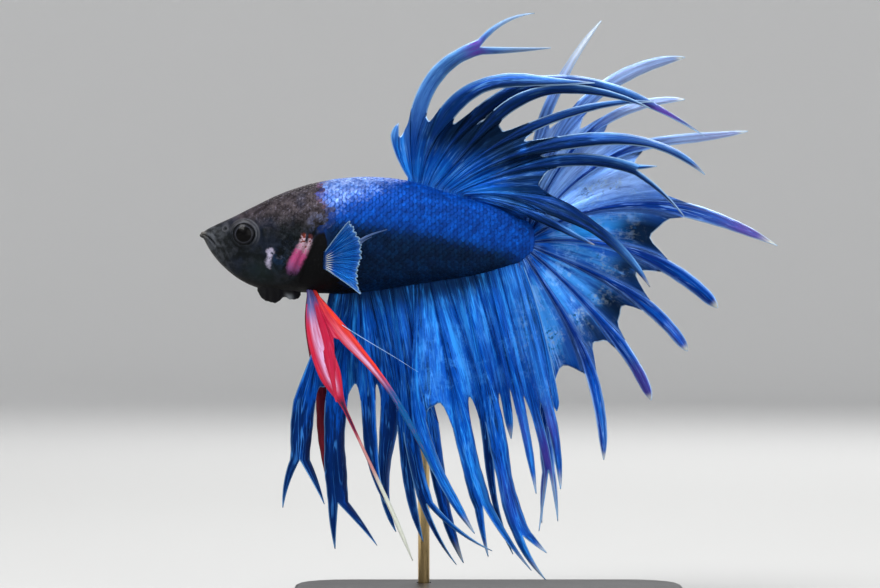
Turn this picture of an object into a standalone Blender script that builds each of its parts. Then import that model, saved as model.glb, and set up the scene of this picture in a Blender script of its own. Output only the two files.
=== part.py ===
"""A crowntail betta, a male Siamese fighting fish, as a life-size still model on a display stand.

The fish faces -X with its back up, and its left side faces -Y. The origin is the middle of the
underside of the stand's base. Lengths below are in millimetres, and MM turns them into metres.
"""

import math
from collections import namedtuple

import bmesh
import bpy
import numpy as np
from mathutils import Matrix, Vector

MM = 0.001

# Driving dimensions.
BODY_LENGTH = 50.0  # snout to the root of the tail fin
SNOUT_X = -43.6
AXIS_Z = 57.4  # height of the line from the snout to the root of the tail fin
FIN_THICKNESS = 0.56
GAP = 0.3  # clearance between neighbouring solids

# The body's outline, at distances behind the snout: height of the back and of the belly
# above the axis, half of the width, and the height at which it is widest.
Station = namedtuple("Station", "at back belly half_width middle")
BODY = (
    Station(0.0, 0.75, -0.3, 0.7, 0.2),
    Station(0.7, 1.4, -1.5, 1.35, 0.0),
    Station(2.0, 2.2, -3.15, 1.95, -0.2),
    Station(4.2, 3.35, -5.05, 2.75, -0.5),
    Station(7.6, 5.1, -7.0, 3.75, -0.7),
    Station(11.5, 6.95, -7.95, 4.75, -0.8),
    Station(16.0, 8.35, -8.3, 5.4, -0.6),
    Station(21.5, 9.3, -8.4, 5.65, -0.3),
    Station(26.5, 9.45, -7.9, 5.4, 0.0),
    Station(31.5, 8.85, -7.1, 4.75, 0.3),
    Station(36.5, 7.35, -6.35, 3.8, 0.4),
    Station(41.5, 5.8, -5.55, 2.7, 0.3),
    Station(46.0, 4.65, -4.3, 1.7, 0.1),
    Station(48.6, 3.4, -3.3, 1.1, 0.0),
    Station(50.0, 1.9, -2.0, 0.7, 0.0),
)
SECTION_FULLNESS = 2.15  # 2 gives an ellipse, and more gives fuller flanks
RING_POINTS = 24
HEAD_END = 17.3
STALK_START = 40.5

# Eyes and the parts of the head.
EYE_AT, EYE_HEIGHT, EYE_SIDE = 6.45, 0.65, 2.7
EYE_RADIUS, EYE_DEPTH = 2.1, 1.45
JAW_OUTLINE = ((-1.5, 0.62), (0.2, 0.42), (2.1, -1.5), (7.9, -6.6), (9.0, -9.5), (-1.5, -9.5))
GILL_COVER_AT, GILL_COVER_REACH = 12.9, 3.3
GILL_COVER_ANGLE, GILL_COVER_SPREAD = -14.0, 42.0  # round the section, from its widest point
GILL_COVER_THICKNESS = 0.7
BEARD_OUTLINE = (
    (8.0, -7.45), (8.3, -8.6), (9.3, -9.5), (10.6, -9.8), (11.9, -9.35), (12.9, -9.0),
    (13.9, -9.3), (14.5, -8.85), (14.2, -8.5),
)
BEARD_HALF_WIDTH = 1.5

# A fin ray has a heading, in degrees from the tail's direction with up positive, at its root,
# at one and two thirds of its length and at its tip. `web` is the share of the ray that the
# membrane reaches, `width` the blade's full width there, and `side` how far the tip lies from
# the fin's plane, to the fish's right. A forked blade has a second tip, which leaves the ray
# turned by `turn` and ends turned by `curl`, while its own tip is turned by `own` at first.
Ray = namedtuple("Ray", "root length headings web width side fork", defaults=(None,))
Fork = namedtuple("Fork", "at own turn curl length")
FORK_STEPS = 3
ROOT_WIDTH, TIP_WIDTH = 0.35, 0.26
ROOTS_DEEP = 0.45  # how far above the back or below the belly a fin's roots start

DORSAL = (
    Ray(31.4, 8.8, (124, 112, 96, 60), 0.78, 1.3, -0.4),
    Ray(32.2, 35.0, (96, 71, 21, 4), 0.30, 2.5, -2.6, Fork(0.70, -18, 34, -14, 9.8)),
    Ray(33.2, 34.8, (84, 50, 0, -2), 0.32, 2.7, -6.6),
    Ray(34.3, 50.4, (66, 32, -17, -34), 0.27, 2.2, -4.2),
    Ray(35.4, 38.6, (50, 44, -1, -26), 0.37, 2.0, -7.6),
    Ray(36.5, 35.5, (45, 29, 15, -3), 0.46, 1.6, -5.0),
    Ray(37.6, 41.4, (37, 15, -4, -46), 0.44, 2.2, -7.4),
    Ray(38.7, 38.0, (25, 12, -14, -52), 0.42, 2.0, -5.6, Fork(0.74, -12, 20, 26, 2.8)),
    Ray(39.8, 33.0, (7, -17, -37, -60), 0.40, 2.8, -7.2),
    Ray(41.0, 20.0, (-9, -19, -28, -26), 0.55, 1.4, -5.0),
)
CAUDAL = (
    Ray(0.00, 32.0, (80, 73, 62, 50), 0.46, 1.8, 1.6),
    Ray(0.11, 36.8, (73, 60, 33, 6), 0.52, 2.2, 3.4),
    Ray(0.22, 32.0, (64, 55, 26, -2), 0.60, 1.5, 0.6),
    Ray(0.33, 37.6, (55, 35, 8, 8), 0.56, 1.7, 2.8),
    Ray(0.44, 38.8, (33, 7, -16, -28), 0.61, 2.4, 0.0),
    Ray(0.54, 30.8, (6, -10, -29, -48), 0.66, 1.9, 2.4),
    Ray(0.63, 28.6, (-22, -25, -39, -57), 0.67, 1.8, 0.2),
    Ray(0.72, 29.2, (-39, -46, -53, -70), 0.66, 2.0, 2.6),
    Ray(0.83, 33.2, (-56, -60, -76, -90), 0.59, 1.9, 0.6),
    Ray(1.00, 39.6, (-77, -82, -84, -88), 0.55, 2.2, 3.0, Fork(0.80, -14, 6, 0, 7.0)),
)
ANAL = (
    Ray(20.9, 33.2, (-120, -106, -92, -94), 0.50, 3.4, 1.4, Fork(0.77, -22, 30, 22, 7.4)),
    Ray(22.6, 38.8, (-98, -98, -87, -84), 0.42, 3.4, 3.0, Fork(0.82, -6, 36, 30, 8.4)),
    Ray(24.0, 32.2, (-87, -85, -86, -66), 0.50, 2.3, 0.8),
    Ray(25.6, 37.0, (-76, -82, -97, -64), 0.47, 2.8, 3.4),
    Ray(27.2, 38.6, (-75, -82, -85, -70), 0.53, 2.0, 1.0),
    Ray(28.9, 43.2, (-80, -84, -76, -52), 0.50, 2.2, -1.4, Fork(0.76, 0, 20, 46, 12.0)),
    Ray(30.7, 43.0, (-76, -80, -81, -66), 0.49, 2.4, 2.8),
    Ray(32.6, 39.4, (-91, -90, -66, -56), 0.53, 2.2, -3.4),
    Ray(34.8, 46.8, (-77, -78, -74, -50), 0.47, 2.9, 0.6, Fork(0.74, 8, -12, -6, 7.6)),
    Ray(37.2, 43.0, (-72, -75, -84, -64), 0.50, 1.5, 3.0),
    Ray(39.5, 47.6, (-77, -77, -78, -47), 0.46, 2.8, -0.6, Fork(0.84, -4, 18, 22, 4.2)),
    Ray(41.6, 25.2, (-74, -75, -79, -84), 0.84, 1.4, 2.2),
    Ray(43.4, 34.0, (-76, -76, -78, -82), 0.64, 1.5, -1.8),
    Ray(45.2, 40.6, (-75, -76, -77, -98), 0.62, 1.4, 1.4, Fork(0.77, -14, 2, -2, 7.9)),
    Ray(47.5, 34.4, (-76, -77, -77, -88), 0.72, 1.6, -2.4),
)
NEAR_PELVIC = (
    Ray(16.3, 43.0, (-82, -67, -65, -68), 0.24, 3.0, -3.0),
    Ray(16.9, 16.4, (-70, -76, -80, -82), 0.60, 1.5, -1.6),
    Ray(17.6, 32.0, (-60, -48, -60, -64), 0.22, 1.9, -3.6),
)
FAR_PELVIC = (
    Ray(16.0, 27.4, (-94, -84, -82, -88), 0.30, 1.6, 3.4),
    Ray(16.7, 15.0, (-82, -82, -80, -80), 0.56, 1.3, 2.0),
    Ray(17.5, 20.0, (-66, -68, -70, -74), 0.36, 1.3, 3.8),
)
PELVIC_SIDE = 1.9
TAPER, PELVIC_TAPER = 1.8, 0.55  # above 1 keeps a blade's width towards its tip

# The tail fin's roots follow the rounded end of the tail stalk.
CAUDAL_ROOT_TOP = 66.0  # degrees above the axis, round the middle of the stalk's end
CAUDAL_ROOT_SIZE = (4.2, 4.7)
CAUDAL_ROOT_AT = 46.6

# The side fins: a fan of rays from a short upright root behind each gill cover.
PECTORAL_RAYS = 7
PECTORAL_ROOT = (18.5, -3.3)
PECTORAL_ROOT_HEIGHT = 2.9
PECTORAL_LENGTHS = (6.1, 6.7)  # of its middle and its outer rays, along the flank
PECTORAL_FAN = (52.0, -35.0)
PECTORAL_FLARE = 0.5  # how far it stands out for each millimetre that it reaches back

# The display stand.
BASE_SIZE = (60.0, 36.0, 4.0)
BASE_CORNER, BASE_EDGE = 8.0, 0.6
ROD_RADIUS = 0.9
ROD_FOOT = (-10.0, 12.0)
ROD_MEETS = (-10.0, AXIS_Z - 2.6)  # along X, and height, on the right flank
ROD_SINK = 1.6  # how far it goes into the base and the flank

parts = bpy.data.collections.new("betta_fish")
helpers = bpy.data.collections.new("cutters")


# ---------------------------------------------------------------- shapes


def through(knots, at):
    """The height at `at` of a smooth curve through (place, height) knots."""
    x = np.array([k[0] for k in knots], float)
    y = np.array([k[1] for k in knots], float)
    slope = np.gradient(y, x)
    at = min(max(at, x[0]), x[-1])
    i = min(int(np.searchsorted(x, at, side="right")) - 1, len(x) - 2)
    span = x[i + 1] - x[i]
    t = (at - x[i]) / span
    return (
        y[i] * (1 + 2 * t) * (1 - t) ** 2
        + slope[i] * span * t * (1 - t) ** 2
        + y[i + 1] * t * t * (3 - 2 * t)
        + slope[i + 1] * span * t * t * (t - 1)
    )


def body_at(at):
    """The body's outline at a distance behind the snout, as a Station."""
    return Station(at, *(through([(s.at, s[k]) for s in BODY], at) for k in range(1, 5)))


def body_point(at, angle, inset=0.0):
    """A point of the body's surface. The angle runs round the section, from its right side."""
    s = body_at(at)
    power = 2 / SECTION_FULLNESS
    across = math.copysign(abs(math.cos(angle)) ** power, math.cos(angle))
    up = math.copysign(abs(math.sin(angle)) ** power, math.sin(angle))
    height = (s.back if up > 0 else -s.belly) + (s.middle if up < 0 else -s.middle) - inset
    return Vector((SNOUT_X + at, (s.half_width - inset) * across, AXIS_Z + s.middle + height * up))


def link(name, mesh, collection, material=None):
    obj = bpy.data.objects.new(name, mesh)
    collection.objects.link(obj)
    if material:
        mesh.materials.append(material)
    return obj


def mesh_from(bm, name, smooth_angle=40):
    bmesh.ops.recalc_face_normals(bm, faces=bm.faces)
    bmesh.ops.scale(bm, vec=(MM, MM, MM), verts=bm.verts)
    mesh = bpy.data.meshes.new(name)
    bm.to_mesh(mesh)
    bm.free()
    mesh.shade_smooth()
    mesh.set_sharp_from_angle(angle=math.radians(smooth_angle))
    return mesh


def loft(name, rings):
    """A closed skin over rings with equal numbers of points, and flat ends."""
    bm = bmesh.new()
    rows = [[bm.verts.new(p) for p in ring] for ring in rings]
    count = len(rows[0])
    for a, b in zip(rows, rows[1:]):
        for k in range(count):
            bm.faces.new((a[k], a[(k + 1) % count], b[(k + 1) % count], b[k]))
    bm.faces.new(rows[0])
    bm.faces.new(rows[-1])
    return mesh_from(bm, name)


def body_length_of(name, start, end, steps):
    """One length of the body, with rings closer together towards the snout and the tail."""
    rings = []
    for k in range(steps + 1):
        at = start + (end - start) * k / steps
        rings.append(
            [body_point(at, 2 * math.pi * i / RING_POINTS) for i in range(RING_POINTS)]
        )
    return loft(name, rings)


def prism(name, outline, half_width):
    """A plate with an outline of (distance behind the snout, height) points, across the body."""
    bm = bmesh.new()
    face = bm.faces.new(
        [bm.verts.new((SNOUT_X + at, -half_width, AXIS_Z + up)) for at, up in outline]
    )
    out = bmesh.ops.extrude_face_region(bm, geom=[face])["geom"]
    bmesh.ops.translate(
        bm, vec=(0, 2 * half_width, 0), verts=[v for v in out if isinstance(v, bmesh.types.BMVert)]
    )
    return mesh_from(bm, name)


def grown(outline, by):
    """The outline moved outwards by a distance, from its own middle."""
    middle = np.mean(outline, axis=0)
    away = np.array(outline) - middle
    size = np.linalg.norm(away, axis=1, keepdims=True)
    return [tuple(p) for p in middle + away * (size + by) / size]


def ellipsoid(name, centre, radii, segments=16, rings=8):
    bm = bmesh.new()
    bmesh.ops.create_uvsphere(bm, u_segments=segments, v_segments=rings, radius=1.0)
    turned = Matrix.Rotation(math.pi / 2, 4, "X")
    bmesh.ops.transform(bm, matrix=turned, verts=bm.verts)
    bmesh.ops.scale(bm, vec=radii, verts=bm.verts)
    bmesh.ops.translate(bm, vec=centre, verts=bm.verts)
    return mesh_from(bm, name)


def rod_between(name, foot, top, radius, sides=12):
    """A round bar between two points."""
    bm = bmesh.new()
    span = Vector(top) - Vector(foot)
    bmesh.ops.create_cone(
        bm, cap_ends=True, segments=sides, radius1=radius, radius2=radius, depth=span.length
    )
    bmesh.ops.rotate(bm, verts=bm.verts, matrix=span.to_track_quat("Z", "Y").to_matrix())
    bmesh.ops.translate(bm, vec=(Vector(foot) + Vector(top)) / 2, verts=bm.verts)
    return mesh_from(bm, name)


def boolean(obj, cutter, operation="DIFFERENCE"):
    modifier = obj.modifiers.new(f"{operation.lower()}_{cutter.name}", "BOOLEAN")
    modifier.operation = operation
    modifier.solver = "EXACT"
    modifier.object = cutter


def cutter(name, mesh):
    obj = link(name, mesh, helpers)
    obj.hide_render = True
    obj.display_type = "WIRE"
    return obj


def paint(name, colour, roughness, metallic=0.0):
    material = bpy.data.materials.new(name)
    material.use_nodes = True
    shader = material.node_tree.nodes["Principled BSDF"]
    shader.inputs["Base Color"].default_value = (*colour, 1.0)
    shader.inputs["Roughness"].default_value = roughness
    shader.inputs["Metallic"].default_value = metallic
    material.diffuse_color = (*colour, 1.0)
    return material


# ---------------------------------------------------------------- fins


def heading_at(ray, v):
    """The heading of a ray at a share of its length, in radians."""
    return math.radians(through([(k / 3, h) for k, h in enumerate(ray.headings)], v))


def ahead(heading, distance):
    return Vector((math.cos(heading), 0, math.sin(heading))) * distance


def share_line(root, ray, shares, lean):
    """(point, heading) at each of some shares of a ray, by walking it in small strides."""
    strides = 120
    point = Vector(root)
    found, done = [], 0
    for v in shares:
        upto = round(v * strides)
        for k in range(done, upto):
            point = point + ahead(heading_at(ray, (k + 0.5) / strides), ray.length / strides)
        done = upto
        found.append((point + Vector((0, ray.side * v**lean, 0)), heading_at(ray, v)))
    return found


def blade_width(ray, v, taper=TAPER):
    """A ray's full width: it grows to the edge of the membrane, and then tapers to the tip."""
    if v < ray.web:
        rise = v / ray.web
        return ROOT_WIDTH + (ray.width - ROOT_WIDTH) * rise * rise
    if ray.fork:
        return ray.width
    beyond = (v - ray.web) / (1 - ray.web)
    return TIP_WIDTH + (ray.width - TIP_WIDTH) * (1 - beyond**taper)


def edges_at(place, width):
    """The edges of a blade, counterclockwise and clockwise of its line."""
    point, heading = place
    across = ahead(heading + math.pi / 2, width / 2)
    return point + across, point - across


def quads(bm, pairs):
    for (a, b), (c, d) in zip(pairs, pairs[1:]):
        bm.faces.new((a, b, d, c))


def fork_tips(bm, ray, place, verts):
    """The last stretch of a forked blade, which parts into its own tip and a second one."""
    point, heading = place
    quads(bm, verts[:-1])
    (a, b), (c, d) = verts[-2:]
    crotch = bm.verts.new(point)
    bm.faces.new((a, b, d, crotch, c))
    fork = ray.fork
    end = heading_at(ray, 1)
    own = (heading + math.radians(fork.own), end, ray.length * (1 - fork.at))
    second = (
        heading + math.radians(fork.turn), heading + math.radians(fork.curl), fork.length
    )
    upper, lower = (second, own) if fork.turn > fork.own else (own, second)
    for (first, other), (start, finish, length) in (
        ((c, crotch), upper),
        ((crotch, d), lower),
    ):
        point = (first.co + other.co) / 2
        width = (first.co - other.co).length
        pairs = [(first, other)]
        for k in range(1, FORK_STEPS + 1):
            v = k / FORK_STEPS
            towards = start + (finish - start) * (v - 0.5 / FORK_STEPS)
            point = point + ahead(towards, length / FORK_STEPS)
            point.y += ray.side * 0.25 / FORK_STEPS
            narrow = TIP_WIDTH + (width - TIP_WIDTH) * (1 - v**1.3)
            pairs.append([bm.verts.new(e) for e in edges_at((point, towards), narrow)])
        quads(bm, pairs)


def fin(
    name, rays, roots, turn=1, lean=0.9, taper=TAPER, notch=0.16, pleat=0.35,
    web_steps=5, blade_steps=5, web_columns=2,
):
    """An open sheet: a blade along each ray, and a membrane between neighbours whose edge
    dips between the rays. `turn` is 1 where the next ray lies clockwise, and -1 otherwise."""
    bm = bmesh.new()
    blades = []
    for ray, root in zip(rays, roots):
        stop = ray.fork.at if ray.fork else 1.0
        shares = [ray.web * k / web_steps for k in range(web_steps)]
        shares += [
            ray.web + (stop - ray.web) * k / blade_steps for k in range(blade_steps + 1)
        ]
        line = share_line(root, ray, shares, lean)
        verts = [
            [bm.verts.new(e) for e in edges_at(place, blade_width(ray, v, taper))]
            for place, v in zip(line, shares)
        ]
        if ray.fork:
            fork_tips(bm, ray, line[-1], verts)
        else:
            quads(bm, verts)
        blades.append(verts[: web_steps + 1])
    near, far = (1, 0) if turn > 0 else (0, 1)
    for k, (one, other) in enumerate(zip(blades, blades[1:])):
        one = [pair[near] for pair in one]
        other = [pair[far] for pair in other]
        columns = [one]
        for c in range(1, web_columns + 1):
            u = c / (web_columns + 1)
            column = []
            for step in range(web_steps + 1):
                v = step * (1 - notch * 4 * u * (1 - u))
                low = min(int(v), web_steps - 1)
                a = one[low].co.lerp(one[low + 1].co, v - low)
                b = other[low].co.lerp(other[low + 1].co, v - low)
                fold = math.sin(math.pi * u) * math.sin(math.pi * step / web_steps / 1.6)
                p = a.lerp(b, u) + Vector((0, pleat * (-1) ** k * fold, 0))
                column.append(bm.verts.new(p))
            columns.append(column)
        columns.append(other)
        for left, right in zip(columns, columns[1:]):
            quads(bm, list(zip(left, right)))
    return mesh_from(bm, name)


def make_fin(name, mesh, material):
    obj = link(name, mesh, parts, material)
    solid = obj.modifiers.new("thickness", "SOLIDIFY")
    solid.thickness = FIN_THICKNESS * MM
    solid.offset = 0.0
    return obj


def back_roots(rays):
    return [(SNOUT_X + r.root, 0.0, AXIS_Z + body_at(r.root).back + ROOTS_DEEP) for r in rays]


def belly_roots(rays, side=0.0):
    return [(SNOUT_X + r.root, side, AXIS_Z + body_at(r.root).belly - ROOTS_DEEP) for r in rays]


def caudal_roots(rays):
    found = []
    for ray in rays:
        angle = math.radians(CAUDAL_ROOT_TOP * (1 - 2 * ray.root))
        x = SNOUT_X + CAUDAL_ROOT_AT + CAUDAL_ROOT_SIZE[0] * math.cos(angle)
        found.append((x, 0.0, AXIS_Z + CAUDAL_ROOT_SIZE[1] * math.sin(angle)))
    return found


def pectoral(name, side, material):
    """A side fin, on the fish's right with side 1 and on its left with side -1."""
    rays, roots = [], []
    for k in range(PECTORAL_RAYS):
        u = k / (PECTORAL_RAYS - 1)
        start = PECTORAL_FAN[0] + (PECTORAL_FAN[1] - PECTORAL_FAN[0]) * u
        length = PECTORAL_LENGTHS[0] + (PECTORAL_LENGTHS[1] - PECTORAL_LENGTHS[0]) * abs(2 * u - 1)
        stand = side * PECTORAL_FLARE * length * math.cos(math.radians(start))
        rays.append(Ray(0, length, (start, start, start - 2, start - 8), 0.88, 0.5, stand))
        at = PECTORAL_ROOT[0]
        up = PECTORAL_ROOT[1] + PECTORAL_ROOT_HEIGHT * (0.5 - u)
        flank = body_at(at).half_width + ROOTS_DEEP
        roots.append((SNOUT_X + at, side * flank, AXIS_Z + up))
    mesh = fin(
        name, rays, roots, notch=0.05, pleat=0.1, web_steps=3, blade_steps=1, web_columns=1
    )
    return make_fin(name, mesh, material)


# ---------------------------------------------------------------- head


def eye(name, side, material):
    centre = (SNOUT_X + EYE_AT, side * EYE_SIDE, AXIS_Z + EYE_HEIGHT)
    ball = link(name, ellipsoid(name, centre, (EYE_RADIUS, EYE_DEPTH, EYE_RADIUS)), parts, material)
    wider = (EYE_RADIUS + GAP, EYE_DEPTH + GAP, EYE_RADIUS + GAP)
    return ball, cutter(f"{name}_socket", ellipsoid(f"{name}_socket", centre, wider))


def gill_cover_sheet(name, side, grow):
    """A rounded patch of the body's surface, as an open grid."""
    cells = 6
    bm = bmesh.new()
    grid = []
    for i in range(cells + 1):
        row = []
        for j in range(cells + 1):
            a, b = 2 * i / cells - 1, 2 * j / cells - 1
            across, up = a * math.sqrt(1 - b * b / 2), b * math.sqrt(1 - a * a / 2)
            at = GILL_COVER_AT + (GILL_COVER_REACH + grow) * across
            turn = GILL_COVER_ANGLE + (GILL_COVER_SPREAD + 8 * grow) * up
            angle = math.radians(turn if side > 0 else 180 - turn)
            row.append(bm.verts.new(body_point(at, angle)))
        grid.append(row)
    for i in range(cells):
        for j in range(cells):
            bm.faces.new((grid[i][j], grid[i + 1][j], grid[i + 1][j + 1], grid[i][j + 1]))
    return mesh_from(bm, name)


def gill_cover(name, side, material):
    """A bony plate let into the side of the head, and the cutter of its bed."""
    plate = link(name, gill_cover_sheet(name, side, 0.0), parts, material)
    solid = plate.modifiers.new("thickness", "SOLIDIFY")
    solid.thickness = GILL_COVER_THICKNESS * MM
    solid.offset = 0.0
    bed = cutter(f"{name}_bed", gill_cover_sheet(f"{name}_bed", side, GAP))
    solid = bed.modifiers.new("thickness", "SOLIDIFY")
    solid.thickness = (GILL_COVER_THICKNESS + 2 * GAP) * MM
    solid.offset = 0.0
    return plate, bed


# ---------------------------------------------------------------- stand


def base(material):
    """A flat plate with round corners and a softened upper edge."""
    length, width, height = BASE_SIZE
    bm = bmesh.new()
    bmesh.ops.create_cube(bm, size=1.0)
    bmesh.ops.scale(bm, vec=(length, width, height), verts=bm.verts)
    bmesh.ops.translate(bm, vec=(0, 0, height / 2), verts=bm.verts)
    upright = [e for e in bm.edges if abs(e.verts[0].co.z - e.verts[1].co.z) > height / 2]
    bmesh.ops.bevel(
        bm, geom=upright, offset=BASE_CORNER, segments=5, profile=0.5, affect="EDGES"
    )
    rim = [e for e in bm.edges if min(v.co.z for v in e.verts) > height - 0.01]
    bmesh.ops.bevel(bm, geom=rim, offset=BASE_EDGE, segments=2, profile=0.5, affect="EDGES")
    return link("stand_base", mesh_from(bm, "stand_base"), parts, material)


def rod_ends():
    """The rod's foot on the base and its head on the right flank, and its direction."""
    foot = Vector((*ROD_FOOT, BASE_SIZE[2]))
    at = ROD_MEETS[0] - SNOUT_X
    s = body_at(at)
    up = abs(ROD_MEETS[1] - AXIS_Z - s.middle) / (s.middle - s.belly)
    flank = s.half_width * (1 - up**SECTION_FULLNESS) ** (1 / SECTION_FULLNESS)
    head = Vector((ROD_MEETS[0], flank, ROD_MEETS[1]))
    return foot, head, (head - foot).normalized()


# ---------------------------------------------------------------- assembly


def build():
    for obj in list(bpy.data.objects):
        bpy.data.objects.remove(obj)
    bpy.context.scene.collection.children.link(parts)
    bpy.context.scene.collection.children.link(helpers)

    head_skin = paint("head_skin", (0.055, 0.042, 0.045), 0.45)
    body_skin = paint("body_skin", (0.010, 0.075, 0.36), 0.35)
    gill = paint("gill_cover", (0.28, 0.06, 0.12), 0.4)
    black = paint("gill_membrane", (0.004, 0.004, 0.006), 0.5)
    eye_dark = paint("eye", (0.008, 0.008, 0.010), 0.08)
    blue = paint("blue_fin", (0.006, 0.09, 0.52), 0.35)
    red = paint("red_fin", (0.55, 0.02, 0.05), 0.35)
    stand_black = paint("stand_base", (0.02, 0.02, 0.022), 0.4)
    brass = paint("stand_rod", (0.72, 0.53, 0.26), 0.3, 1.0)

    head = link("head", body_length_of("head", 0.0, HEAD_END, 17), parts, head_skin)
    jaw = link("lower_jaw", body_length_of("lower_jaw", 0.0, HEAD_END, 17), parts, head_skin)
    inside = cutter("jaw_inside", prism("jaw_inside", JAW_OUTLINE, 8.0))
    outside = cutter("jaw_outside", prism("jaw_outside", grown(JAW_OUTLINE, GAP * 1.6), 8.0))
    boolean(jaw, inside, "INTERSECT")
    boolean(head, outside)
    for name, side in (("left", -1), ("right", 1)):
        _, socket = eye(f"eye_{name}", side, eye_dark)
        boolean(head, socket)
        _, bed = gill_cover(f"gill_cover_{name}", side, gill)
        boolean(head, bed)
        pectoral(f"pectoral_fin_{name}", side, blue)

    trunk = link(
        "trunk", body_length_of("trunk", HEAD_END + GAP, STALK_START, 14), parts, body_skin
    )
    link(
        "tail_stalk",
        body_length_of("tail_stalk", STALK_START + GAP, BODY_LENGTH, 8),
        parts,
        body_skin,
    )
    link("gill_membrane", prism("gill_membrane", BEARD_OUTLINE, BEARD_HALF_WIDTH), parts, black)

    make_fin("dorsal_fin", fin("dorsal_fin", DORSAL, back_roots(DORSAL)), blue)
    make_fin("caudal_fin", fin("caudal_fin", CAUDAL, caudal_roots(CAUDAL)), blue)
    mesh = fin("anal_fin", ANAL, belly_roots(ANAL), turn=-1, web_columns=1)
    make_fin("anal_fin", mesh, blue)
    for name, rays, side in (
        ("pelvic_fin_left", NEAR_PELVIC, -PELVIC_SIDE),
        ("pelvic_fin_right", FAR_PELVIC, PELVIC_SIDE),
    ):
        roots = belly_roots(rays, side)
        mesh = fin(
            name, rays, roots, turn=-1, taper=PELVIC_TAPER, pleat=0.1, web_steps=3, web_columns=1
        )
        make_fin(name, mesh, red)

    plate = base(stand_black)
    foot, top, along = rod_ends()
    link(
        "stand_rod",
        rod_between("stand_rod", foot - along * ROD_SINK, top + along * ROD_SINK, ROD_RADIUS),
        parts,
        brass,
    )
    for obj, end, way in ((plate, foot, -along), (trunk, top, along)):
        name = f"{obj.name}_rod_hole"
        mesh = rod_between(
            name, end - way * 4, end + way * (ROD_SINK + GAP), ROD_RADIUS + GAP
        )
        boolean(obj, cutter(name, mesh))


build()
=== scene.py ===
"""The looks of a crowntail betta display model: its skin and scales, eyes, rayed fins and stand.

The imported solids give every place. Lengths are in millimetres, and MM turns them into metres. The
fish faces -X, its left side faces -Y, and the underside of its stand is at height 0.
"""

import math
from collections import namedtuple

import bpy
import numpy as np
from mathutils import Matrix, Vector, kdtree


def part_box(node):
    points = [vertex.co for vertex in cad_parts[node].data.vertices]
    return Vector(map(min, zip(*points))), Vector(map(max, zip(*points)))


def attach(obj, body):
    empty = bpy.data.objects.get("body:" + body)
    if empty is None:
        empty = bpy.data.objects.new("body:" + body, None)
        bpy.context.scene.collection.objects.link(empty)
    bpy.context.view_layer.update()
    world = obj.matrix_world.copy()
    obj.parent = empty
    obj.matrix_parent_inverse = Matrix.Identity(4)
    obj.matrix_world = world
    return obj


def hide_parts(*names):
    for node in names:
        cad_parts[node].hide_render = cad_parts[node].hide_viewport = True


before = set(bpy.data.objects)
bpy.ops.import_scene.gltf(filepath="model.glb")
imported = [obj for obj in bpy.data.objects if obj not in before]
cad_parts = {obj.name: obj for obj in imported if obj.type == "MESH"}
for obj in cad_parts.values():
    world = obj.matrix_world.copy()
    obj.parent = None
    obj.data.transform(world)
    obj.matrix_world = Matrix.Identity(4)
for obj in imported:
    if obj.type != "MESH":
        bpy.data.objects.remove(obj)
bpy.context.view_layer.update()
MM = 0.001


# ---------------------------------------------------------------- camera, floor and light
# The camera looks square on at the fish's left flank from half a metre away, level with the
# lower edge of its body. The floor is a wide pale dish, and three soft boxes light the fish.

EYE_BEHIND_SNOUT, EYE_ABOVE_AXIS = 6.45, 0.65  # the fish's axis runs a little below its eyes


def box_of(node):
    """The lowest and the highest corner of a solid, in millimetres."""
    return tuple(np.array(corner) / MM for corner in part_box(node))


SNOUT_X = box_of("lower_jaw")[0][0]
AXIS_Z = sum(corner[2] for corner in box_of("eye_left")) / 2 - EYE_ABOVE_AXIS
VIEW_DISTANCE, VIEW_WIDTH = 500.0, 134.1
VIEW_CENTRE = (SNOUT_X + 36.13, 0.0, AXIS_Z - 8.4)
SENSOR = 36.0

DISH_RADIUS, DISH_EDGE, DISH_HEIGHT = 1500.0, 500.0, 1400.0
DISH_STEPS, DISH_SIDES = 12, 96
FLOOR_PAPER, WALL_PAPER = (0.45, 0.45, 0.445), (0.9, 0.9, 0.9)
PALE_FROM, PALE_TO = 250.0, 1150.0  # from the middle of the floor
AIR_COLOUR, AIR_STRENGTH = (0.86, 0.88, 0.9, 1.0), 0.24
BOXES = (  # place, width, power in watts
    ((-200.0, -380.0, 640.0), 380.0, 7.6),
    ((460.0, -460.0, 200.0), 520.0, 1.9),
    ((120.0, 460.0, 520.0), 380.0, 3.4),
)


def look_at(obj, place, target):
    """Sets a camera or a light in its place, turned towards the target."""
    obj.location = Vector(place) * MM
    obj.rotation_euler = (Vector(target) - Vector(place)).to_track_quat("-Z", "Y").to_euler()
    bpy.context.scene.collection.objects.link(obj)


def set_camera():
    lens = bpy.data.cameras.new("camera")
    lens.sensor_width = SENSOR
    lens.lens = SENSOR * VIEW_DISTANCE / VIEW_WIDTH
    lens.clip_start = 0.01
    camera = bpy.data.objects.new("camera", lens)
    look_at(camera, Vector(VIEW_CENTRE) - Vector((0, VIEW_DISTANCE, 0)), VIEW_CENTRE)
    bpy.context.scene.camera = camera


def soft_boxes():
    for place, width, power in BOXES:
        light = bpy.data.lights.new("soft_box", "AREA")
        light.size = width * MM
        light.energy = power
        look_at(bpy.data.objects.new("soft_box", light), place, VIEW_CENTRE)
    world = bpy.data.worlds.new("studio")
    world.use_nodes = True
    background = world.node_tree.nodes["Background"]
    background.inputs["Color"].default_value = AIR_COLOUR
    background.inputs["Strength"].default_value = AIR_STRENGTH
    bpy.context.scene.world = world
    bpy.context.scene.view_settings.view_transform = "Standard"


def join(tree, value, socket):
    """Gives a socket a value, or a link from another node."""
    if isinstance(value, bpy.types.NodeSocket):
        tree.links.new(value, socket)
    elif socket.type == "RGBA" and len(value) == 3:
        socket.default_value = (*value, 1.0)
    else:
        socket.default_value = value


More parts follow.
